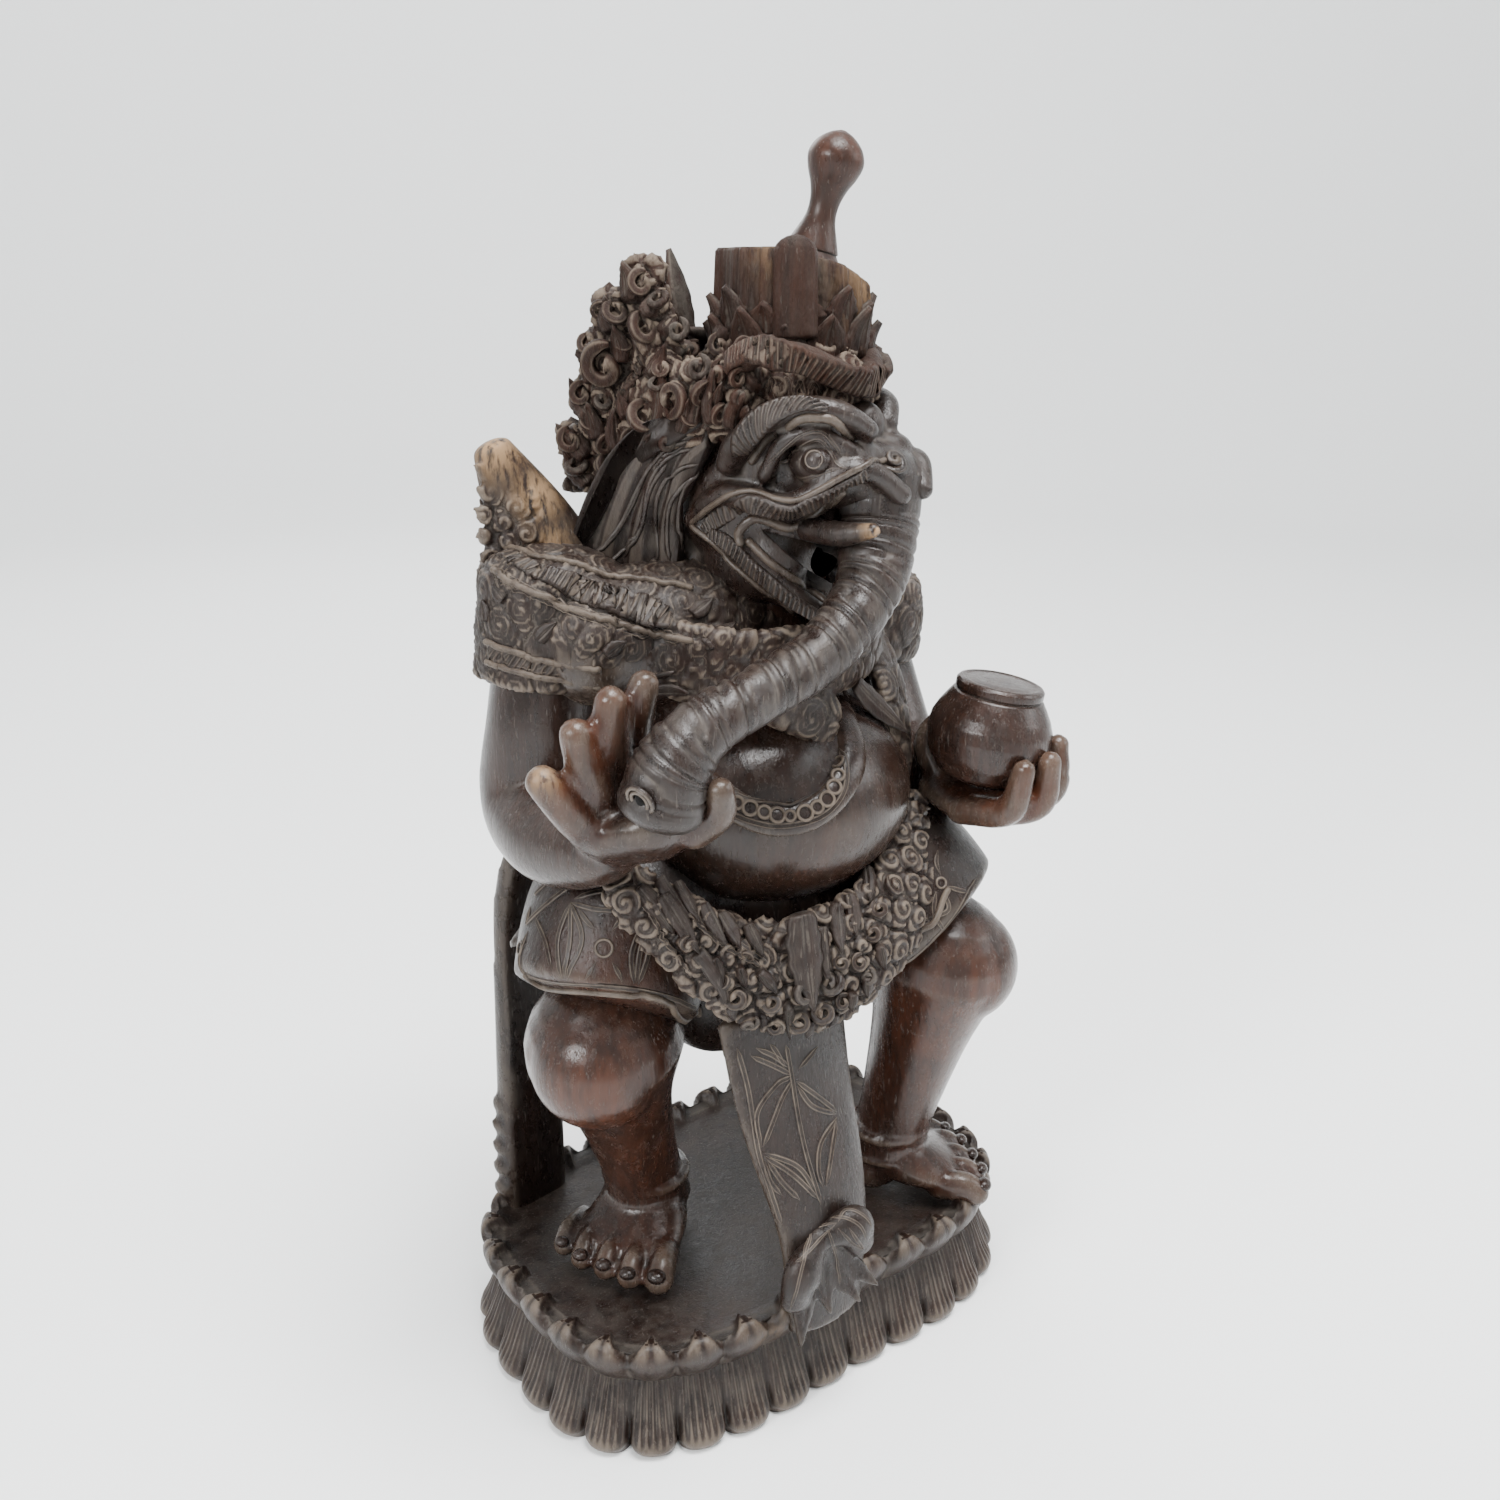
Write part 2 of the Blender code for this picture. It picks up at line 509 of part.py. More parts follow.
def ear(side):
    """A fan of an ear: it springs from behind the cheek, spreads back and down, and ripples towards its rim."""
    rows, cols = 15, 22
    a = np.linspace(0, 1, rows)[:, None, None]
    front = along([(14, 43, 384), (4, 44, 375), (-2, 44, 360), (-5, 43, 346), (-3, 42, 331)], cols)[None]
    rim = along([(16, 45, 394), (-8, 52, 387), (-24, 57, 369), (-38, 61, 347), (-46, 63, 324)], cols)[None]
    sheet = front * (1 - a) + rim * a
    down = np.linspace(0, 1, cols)[None, :]
    a = a[..., 0]
    sheet[..., 1] += 2.2 * np.sin(a * 6.6 * np.pi) * (0.3 + 0.7 * down) * (1 - a) ** 0.3
    sheet[..., 2] += 5 * np.sin(np.pi * a) * (1 - down) - 3 * np.sin(np.pi * a) * down
    half = 3.0 + 2.2 * np.exp(-(((1 - a) / 0.1) ** 2)) + 0 * down
    outer, inner = sheet.copy(), sheet.copy()
    outer[..., 1] += half
    inner[..., 1] -= half
    rings = np.concatenate([outer, inner[:, ::-1]], axis=1)
    t = math.radians(HEAD_TURN)
    f, s, z = rings[..., 0], rings[..., 1] * side, rings[..., 2]
    x, y = f * math.sin(t) - s * math.cos(t), -f * math.cos(t) - s * math.sin(t)
    placed = np.stack([x, y, z], -1) * PART
    placed[..., 2] += BASE_HEIGHT
    return stack(placed[:, ::-1] if side > 0 else placed)


def head_and_trunk():
    made = [
        ball(head(24, 0, 374), (38, 42, 42), HEAD_TURN, 24),
        ball(head(57, 0, 372), (28, 27, 16), HEAD_TURN, 20),
        ball(head(60, 0, 392), (9, 9, 10), HEAD_TURN),
        sweep([head(-4, 0, 334), head(26, 0, 326), head(48, 0, 316)], [37, 31, 19], [16, 11, 7],
              rows=8, sides=16),
        sweep([head(6, 0, 352), head(34, 0, 346), head(58, 0, 350)], [18, 15, 12], [14, 14, 14],
              rows=8, sides=16),
        sweep([head(-10, 0, 345), head(-26, 0, 330)], [40, 52], [34, 34], face=(0, 1, 0), rows=6,
              sides=18),
    ]
    for side in (1, -1):
        made += features(side)
        made.append(ear(side))
    path = [head(66, 0, 370), at(22, -66, 352), at(16, -72, 334), at(1, -78, 319), at(-22, -84, 306),
            at(-52, -90, 298), at(-78, -92, 290), at(-92, -91, 277), at(-97, -89, 261)]
    rows = 8 * TRUNK_RINGS
    girth = along([20, 18, 15, 13, 12, 11.5, 12.5, 15.5, 17], rows)
    t = np.linspace(0, 1, rows)
    ringed = np.sin(np.pi * np.clip((t - 0.05) / 0.8, 0, 1)) ** 0.5
    girth = girth - 1.3 * ringed * (1 - np.abs(np.sin(np.pi * TRUNK_RINGS * t)))
    made.append(sweep(path, girth, face=(0, -0.3, 1), rows=rows, sides=16, ends=(0.5, 0.55)))
    return made


# The crown: a cap, a ribbed diadem, wings of scrolls behind the ears, upright leaves, and the broken core.
LEAN_WAY = np.array([0.829, -0.559])
CORE = (17, -12)
CORE_FOOT = 418
CORE_TOP = 461


def crown_core():
    """The core of the crown, broken off along the grain: its top falls away towards the figure's left."""
    a = np.linspace(0, 2 * np.pi, 28, endpoint=False)
    around = np.stack([np.cos(a), np.sin(a)], -1)
    centre = head(*CORE, 0)
    across = around @ LEAN_WAY
    rings = []
    for height, radius in ((0, 34), (0.4, 32), (0.8, 31), (0.97, 30.5), (1, 29)):
        u = across * radius
        fall = math.tan(math.radians(FINIAL_LEAN)) * np.clip(u + 5, 0, 25) + 0.6 * np.maximum(u - 20, 0)
        top = CORE_TOP - fall
        z = CORE_FOOT + (top - CORE_FOOT) * height
        ring = np.concatenate([centre[:2] + around * radius * PART, (z * PART + BASE_HEIGHT)[:, None]], 1)
        rings.append(ring)
    return stack(np.array(rings))


# The crown's parts in head measures: the ribbed diadem, the roll of scrolls over the temple, the notched
# blocks along each wing's outer edge, the scrolls on the wing, and the tiers of upright leaves.
DIADEM = ((28, 42, 417), (37, 40, 421), (50, 34, 421), (58, 24, 416), (61, 11, 411), (59, 0, 410),
          (56, -11, 412), (48, -22, 417), (38, -31, 420), (27, -36, 417))
TEMPLE = ((-28, 44, 388), (-10, 46, 396), (10, 43, 402), (30, 40, 403))
WING_BLOCKS = ((-33, 42, 434, 7, 10), (-41, 43, 416, 7, 11), (-47, 44, 401, 6, 6), (-54, 45, 383, 7, 6),
               (-51, 45, 369, 6, 6))
WING_SCROLLS = ((-42, 48, 412, 9), (-30, 47, 398, 10), (-8, 49, 409, 10), (-13, 45, 424, 9),
                (9, 48, 404, 9), (-34, 47, 430, 8), (4, 43, 420, 8), (24, 44, 406, 8))
LEAF_TIERS = ((14, 402, 45, 44, 22, 8.5, (120, 240), 6), (CORE[0], 414, 31, 30, 24, 8.0, (0, 330), 12),
              (CORE[0], 428, 30, 29, 18, 7.0, (16, 346), 12))


def block(f, s, z, long, deep, tall):
    """A squared block of the crown, turned with the head, given its middle and half sizes in parts."""
    rings = [
        [head(f + i * long, s + j * deep, z + k * tall) for i, j in ((-1, -1), (1, -1), (1, 1), (-1, 1))]
        for k in (-1, 1)
    ]
    return stack(np.array(rings))


def crown():
    made = [
        ball(head(18, -2, 398), (40, 42, 34), HEAD_TURN, 24),
        crown_core(),
        sweep([head(*p) for p in DIADEM], [6.5] * 3, [4.5] * 3, face=(0.01, 0, 1), rows=46, sides=10),
    ]
    for side in (1, -1):
        share = side * (1 if side > 0 else LEFT_FACE_SHARE)
        made.append(ball(head(-24, 38 * side, 380), (10, 18, 24), HEAD_TURN))
        temple = [head(f, s * share, z) for f, s, z in TEMPLE]
        made.append(sweep(temple, [13, 16, 16, 12], [8, 8, 8, 6], face=(-0.934 * side, -0.358 * side, 0),
                          rows=12, sides=12))
        wing = [head(-41, 41 * side, 366), head(-41, 43 * side, 390), head(-37, 43 * side, 416),
                head(-35, 41 * side, 436)]
        made.append(sweep(wing, [12, 13, 12, 9], [9, 9, 9, 7], face=(-0.934 * side, -0.358 * side, 0),
                          rows=14, sides=12))
        for f, s, z, long, tall in WING_BLOCKS:
            made.append(block(f, s * side, z, long, 8, tall))
        inner = [head(-18, 36 * side, 392), head(-26, 36 * side, 420), head(-26, 38 * side, 436)]
        made.append(sweep(inner, [26, 22, 10], [10, 9, 7], face=(-0.934 * side, -0.358 * side, 0),
                          rows=12, sides=12))
        horn = [head(-12, 40 * side, 404), head(-17, 40 * side, 430)]
        if side > 0:
            horn.append(head(-23, 39, 454))
        made.append(sweep(horn, [13, 10, 8][:len(horn)], [9, 8, 7][:len(horn)],
                          face=(-0.934 * side, -0.358 * side, 0), rows=10, sides=12, ends=(0.6, 0.4)))
        facing = head(2, side * 10, 0) - head(0, 0, 0)
        for f, s, z, r in WING_SCROLLS:
            reach = s * side * (1 if side > 0 or f < 0 else LEFT_FACE_SHARE)
            made.append(scroll(head(f, reach, z), facing, (0, 0, 1), r, 3.8, 1.15, 3))
    for middle, low, reach_s, reach_f, tall, wide, span, count in LEAF_TIERS:
        shift = CORE[1] if middle == CORE[0] else 0
        for b in np.radians(np.linspace(*span, count)):
            away = np.array([math.cos(b), math.sin(b)])
            root = head(middle + reach_f * away[0], shift + reach_s * away[1], low)
            tip = head(middle + (reach_f + 3) * away[0], shift + (reach_s + 3) * away[1], low + tall)
            out = head(away[0] * 10, away[1] * 10, 0) - head(0, 0, 0)
            made.append(leaf(root, tip, out, wide, 4.2, 0.2))
    made.append(leaf(head(-26, 5, 424), head(-34, 5, 461), head(-10, 0, 0) - head(0, 0, 0), 8, 5, 0.03))
    return made


def mouth():
    """Cutters for the open mouth: one pocket into each cheek, between the ribbed lips."""
    made = []
    for side in (1, -1):
        near = [head(f, 50 * side, z) for f, z in ((26, 352), (60, 356), (62, 330), (53, 319))]
        deep = [head(f, 13 * side, z) for f, z in ((29, 350), (58, 353), (58, 330), (50, 323))]
        rings = np.array([deep, near] if side < 0 else [near, deep])
        made.append(stack(rings))
    return made


def joined(name, pieces):
    """One mesh object that holds every piece."""
    points, faces, shift = [], [], 0
    for p, f in pieces:
        points.append(p)
        faces.append(f + shift)
        shift += len(p)
    mesh = bpy.data.meshes.new(name)
    mesh.from_pydata(np.concatenate(points).tolist(), [], np.concatenate(faces).tolist())
    mesh.update()
    made = bpy.data.objects.new(name, mesh)
    bpy.context.scene.collection.objects.link(made)
    return made


def evaluated(obj):
    """The object's mesh with its modifiers applied, in their place."""
    bpy.context.view_layer.update()
    graph = bpy.context.evaluated_depsgraph_get()
    mesh = bpy.data.meshes.new_from_object(obj.evaluated_get(graph))
    obj.modifiers.clear()
    obj.data = mesh
    return mesh


def keep_largest(mesh):
    """Drops the specks that fusing can leave inside a hollow, so that one body is left."""
    bm = bmesh.new()
    bm.from_mesh(mesh)
    unseen, groups = set(bm.verts), []
    while unseen:
        group, edge = set(), [unseen.pop()]
        while edge:
            v = edge.pop()
            group.add(v)
            near = {e.other_vert(v) for e in v.link_edges} & unseen
            unseen -= near
            edge += near
        groups.append(group)
    groups.sort(key=len)
    bmesh.ops.delete(bm, geom=[v for g in groups[:-1] for v in g], context="VERTS")
    bm.to_mesh(mesh)
    bm.free()


def cut(target, cutter):
    cutter.hide_render = True
    cutter.display_type = "WIRE"
    boolean = target.modifiers.new("cut " + cutter.name, "BOOLEAN")
    boolean.operation = "DIFFERENCE"
    boolean.solver = "EXACT"
    boolean.object = cutter


def wood(name, colour, rough):
    material = bpy.data.materials.new(name)
    material.use_nodes = True
    shader = material.node_tree.nodes["Principled BSDF"]
    shader.inputs["Base Color"].default_value = (*colour, 1)
    shader.inputs["Roughness"].default_value = rough
    return material


# Where the finial stands: the middle of its foot, and its leaning axis.
SEAT_POINT = head(*CORE, CORE_TOP - 4.6) + np.array([*LEAN_WAY, 0]) * 7 * PART


def finial_axis():
    a = math.radians(FINIAL_LEAN)
    return np.array([*(LEAN_WAY * math.sin(a)), math.cos(a)])


def turned_solid(profile, foot, axis, sides):
    """A solid of revolution: profile is height and radius from the foot up, about axis."""
    across = unit(np.cross(axis, np.array([0, 1.0, 0])))
    other = np.cross(axis, across)
    a = np.linspace(0, 2 * np.pi, sides, endpoint=False)
    rings = [
        foot + axis * h + (across * np.cos(a)[:, None] + other * np.sin(a)[:, None]) * r
        for h, r in profile
    ]
    return stack(np.array(rings))


def finial():
    length, foot, neck, bulb = FINIAL_LENGTH, FINIAL_FOOT_RADIUS, FINIAL_NECK_RADIUS, FINIAL_BULB_RADIUS
    shape = [(0, foot), (0.06, foot * 0.93), (0.18, (foot + neck) / 2), (0.32, neck * 1.05), (0.44, neck),
             (0.56, neck * 1.25), (0.68, bulb * 0.9), (0.79, bulb), (0.89, bulb * 0.82),
             (0.965, bulb * 0.45), (1.0, bulb * 0.1)]
    heights = np.array([h for h, _ in shape]) * length
    radii = np.array([r for _, r in shape])
    fine = np.linspace(0, length, 17)
    profile = np.stack([fine, np.interp(fine, heights, radii)], 1)
    axis = finial_axis()
    made = joined("crown_finial", [turned_solid(profile, SEAT_POINT + axis * REST_GAP, axis, 16)])
    made.data.shade_smooth()
    made.data.materials.append(wood("finial_wood", (0.16, 0.105, 0.085), 0.45))
    return made


def build():
    for old in list(bpy.data.objects):
        bpy.data.objects.remove(old)
    pieces = lotus_base() + leg(**RIGHT_LEG) + leg(**LEFT_LEG) + cloth() + apron() + sash() + back_tails()
    pieces += torso() + right_arm() + left_arm() + shoulder_stumps() + head_and_trunk() + crown()
    statue = joined("carved_ganesha", pieces)
    fuse = statue.modifiers.new("fuse", "REMESH")
    fuse.mode = "VOXEL"
    fuse.voxel_size = FUSE_GRAIN
    keep_largest(evaluated(statue))
    facets = sum(len(p.vertices) - 2 for p in statue.data.polygons)
    thin = statue.modifiers.new("facets", "DECIMATE")
    thin.ratio = CARVED_FACETS / facets
    evaluated(statue)
    under = joined("below_the_floor", [stack(np.array([
        [(x, y, z) for x, y in ((-1, -1), (1, -1), (1, 1), (-1, 1))] for z in (-0.1, 0.0)
    ], float))])
    cut(statue, under)
    axis = finial_axis()
    room = FINIAL_FOOT_RADIUS + SEAT_CLEARANCE
    seat = joined("finial_seat", [turned_solid(
        ((0, room), (SEAT_DEPTH + 0.02, room)), SEAT_POINT, axis, 24)])
    cut(statue, seat)
    for side, pocket in zip(("right", "left"), mouth()):
        cut(statue, joined("mouth_" + side, [pocket]))
    statue.data.materials.append(wood("dark_carved_wood", (0.085, 0.058, 0.048), 0.42))
    finial()


build()
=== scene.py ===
"""The looks of a carved hardwood Ganesha from Bali, on a two-tier lotus base, with a turned finial.

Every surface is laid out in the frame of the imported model: metres, +Z up, the figure faces -Y and its own
left hand is at +X. A part of the carving is one millimetre, measured up from the top of the base.
"""

import math

import bmesh
import bpy
import numpy as np
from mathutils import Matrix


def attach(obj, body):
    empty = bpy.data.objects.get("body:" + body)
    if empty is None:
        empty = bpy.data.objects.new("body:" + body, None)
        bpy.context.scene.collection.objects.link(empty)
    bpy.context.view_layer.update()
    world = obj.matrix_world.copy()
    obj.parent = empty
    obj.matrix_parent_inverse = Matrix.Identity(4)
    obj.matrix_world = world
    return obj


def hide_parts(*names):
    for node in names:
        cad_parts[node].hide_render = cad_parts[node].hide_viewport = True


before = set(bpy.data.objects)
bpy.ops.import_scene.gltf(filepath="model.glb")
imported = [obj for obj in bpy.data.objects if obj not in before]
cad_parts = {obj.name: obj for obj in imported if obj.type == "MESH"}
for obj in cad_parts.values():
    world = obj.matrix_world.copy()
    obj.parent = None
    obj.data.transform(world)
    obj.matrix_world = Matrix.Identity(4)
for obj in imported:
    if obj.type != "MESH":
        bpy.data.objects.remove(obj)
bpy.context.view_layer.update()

# The camera stands where the photograph was taken from. Incised lines and small scrolls on the visible side
# are laid out along its lines of sight, and then sit on whatever surface those lines meet.
LENS, FILM, HALF_FRAME = 33.6, 36.0, 750.0
camera_data = bpy.data.cameras.new("camera")
camera_data.lens = LENS
camera_data.sensor_width = FILM
camera = bpy.data.objects.new("camera", camera_data)
camera.location = (-0.3441, -0.5155, 0.5027)
camera.rotation_euler = (math.radians(71.5), 0.0, -math.atan2(0.5592, 0.8290))
bpy.context.scene.collection.objects.link(camera)
bpy.context.scene.camera = camera
bpy.context.view_layer.update()


def unit(v):
    return v / np.maximum(np.linalg.norm(v, axis=-1, keepdims=True), 1e-12)


def sight(target, pixels):
    """Where lines of sight meet the carving, and the way out of the wood there. A line through a pixel
    leaves the lens in proportion to the pixel's distance from the frame's middle."""
    bpy.context.view_layer.update()
    turn = np.array(camera.matrix_world.to_3x3())
    eye = np.array(camera.location)
    p = np.array(pixels, float)
    spread = FILM / 2 / HALF_FRAME
    across = (p[:, 0] - HALF_FRAME) * spread
    upward = (HALF_FRAME - p[:, 1]) * spread
    way = unit(np.stack([across, upward, np.full(len(p), -LENS)], 1) @ turn.T)
    found = [target.ray_cast(eye.tolist(), w.tolist()) for w in way]
    missed = [target.closest_point_on_mesh((eye + w * 0.62).tolist()) for w in way]
    hits = [f if f[0] else m for f, m in zip(found, missed)]
    return np.array([h[1] for h in hits]), np.array([h[2] for h in hits])


# The lotus base: the lower half of the block, cut into a skirt of ribbed hanging petals under a flat tier
# whose edge is cut into small upturned leaves. The wood is dark, dusty in the grooves, chipped at the rim.
BASE_LENGTH, BASE_WIDTH, BASE_TOP = 0.274, 0.190, 0.055
BASE_TURN = 3.0
MIDDLE_DRAWN_IN = 0.005
LOWER_TIER = 0.036
WAIST_INSET = 0.012
PETALS = 32
COLUMNS_PER_PETAL = 28
GROOVES_PER_PETAL = 7
RIM_LEAVES = 32
COLUMNS_PER_LEAF = 16
RIM_ROWS = 34


def at(x, y, z):
    """A point of the figure, in parts of a millimetre from the middle of the base's top."""
    return np.array([x, y, z]) * 0.001 + np.array([0, 0, BASE_TOP])


def along(values, count):
    """Values from a smooth curve (Catmull-Rom) through the given ones, at count even steps."""
    v = np.array(values, float)
    if len(v) == 2:
        t = np.linspace(0, 1, count).reshape(-1, *([1] * (v.ndim - 1)))
        return v[0] * (1 - t) + v[1] * t
    v = np.concatenate([[2 * v[0] - v[1]], v, [2 * v[-1] - v[-2]]])
    s = np.linspace(0, len(v) - 3 - 1e-9, count)
    i = s.astype(int)
    t = (s - i).reshape(-1, *([1] * (v.ndim - 1)))
    p0, p1, p2, p3 = v[i], v[i + 1], v[i + 2], v[i + 3]
    square = 2 * p0 - 5 * p1 + 4 * p2 - p3
    cube = 3 * p1 - p0 - 3 * p2 + p3
    return 0.5 * (2 * p1 + (p2 - p0) * t + square * t**2 + cube * t**3)


def skin(rings, hollow=0.0, closed=False):
    """A shell over rings of points: each ring joins the next, and the ends are fanned shut, or the last
    ring joins the first where closed. hollow is how deep each point lies in the carving: -1 on a sharp
    edge, 0 on a plain face, 1 in a groove, and over 1 in a pit that no light reaches."""
    rows, sides, _ = rings.shape
    depth = np.broadcast_to(hollow, (rows, sides)).ravel()
    row, side = np.meshgrid(np.arange(rows if closed else rows - 1), np.arange(sides), indexing="ij")
    onward, upper = (side + 1) % sides, (row + 1) % rows
    this, above = row * sides, upper * sides
    quads = np.stack([this + side, this + onward, above + onward, above + side], -1)
    points, fans = rings.reshape(-1, 3), np.zeros((0, 3), int)
    if not closed:
        first, last, top = rows * sides, rows * sides + 1, (rows - 1) * sides
        around = np.arange(sides)
        following = (around + 1) % sides
        fans = np.concatenate([
            np.stack([following, around, np.full(sides, first)], 1),
            np.stack([top + around, top + following, np.full(sides, last)], 1),
        ])
        points = np.concatenate([points, rings[0].mean(0)[None], rings[-1].mean(0)[None]])
        depth = np.concatenate([depth, depth[:1], depth[-1:]])
    return points, quads.reshape(-1, 4), fans, depth


def mesh_of(name, forms):
    """One mesh object from many shells, with each point's hollow kept as an attribute."""
    shifts = np.cumsum([0] + [len(f[0]) for f in forms])
    points = np.concatenate([f[0] for f in forms])
    quads = np.concatenate([f[1] + s for f, s in zip(forms, shifts)])
    fans = np.concatenate([f[2] + s for f, s in zip(forms, shifts)])
    depth = np.concatenate([f[3] for f in forms])
    mesh = bpy.data.meshes.new(name)
    mesh.vertices.add(len(points))
    mesh.vertices.foreach_set("co", points.ravel())
    mesh.loops.add(quads.size + fans.size)
    mesh.loops.foreach_set("vertex_index", np.concatenate([quads.ravel(), fans.ravel()]))
    mesh.polygons.add(len(quads) + len(fans))
    starts = np.concatenate([np.arange(len(quads)) * 4, quads.size + np.arange(len(fans)) * 3])
    mesh.polygons.foreach_set("loop_start", starts)
    mesh.update(calc_edges=True)
    shell = bmesh.new()
    shell.from_mesh(mesh)
    bmesh.ops.recalc_face_normals(shell, faces=shell.faces)
    shell.to_mesh(mesh)
    shell.free()
    mesh.attributes.new("hollow", "FLOAT", "POINT").data.foreach_set("value", depth)
    made = bpy.data.objects.new(name, mesh)
    bpy.context.scene.collection.objects.link(made)
    return made


def corners(mesh):
    """All of the mesh's points as one array."""
    flat = np.empty(len(mesh.vertices) * 3)
    mesh.vertices.foreach_get("co", flat)
    return flat.reshape(-1, 3)


def near(points, spots):
    """How close each point lies to any spot, of x, y, z, reach and strength: a bell curve of the distance
    over the spot's reach."""
    share = np.zeros(len(points))
    for x, y, z, reach, strength in spots:
        gap = np.linalg.norm(points - np.array([x, y, z]), axis=1) / reach
        share = np.maximum(share, strength * np.exp(-gap**2))
    return share


def finish_piece(obj, wood, rubbed=(), bare=()):
    """Smooths the shading, lays down the attributes that the wood's colour follows, and joins the frame."""
    mesh = obj.data
    points = corners(mesh)
    mesh.attributes.new("rubbed", "FLOAT", "POINT").data.foreach_set("value", near(points, rubbed))
    mesh.attributes.new("bare", "FLOAT", "POINT").data.foreach_set("value", near(points, bare))
    mesh.shade_smooth()
    mesh.materials.clear()
    mesh.materials.append(wood)
    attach(obj, "root")
    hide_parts("carved_ganesha")


def node(tree, kind, place=None, **settings):
    """A node of the kind, with its settings and the values of its sockets."""
    made = tree.nodes.new(kind)
    for key, value in settings.items():
        setattr(made, key, value)
    for key, value in (place or {}).items():
        if isinstance(value, bpy.types.NodeSocket):
            tree.links.new(value, made.inputs[key])
        else:
            made.inputs[key].default_value = value
    return made


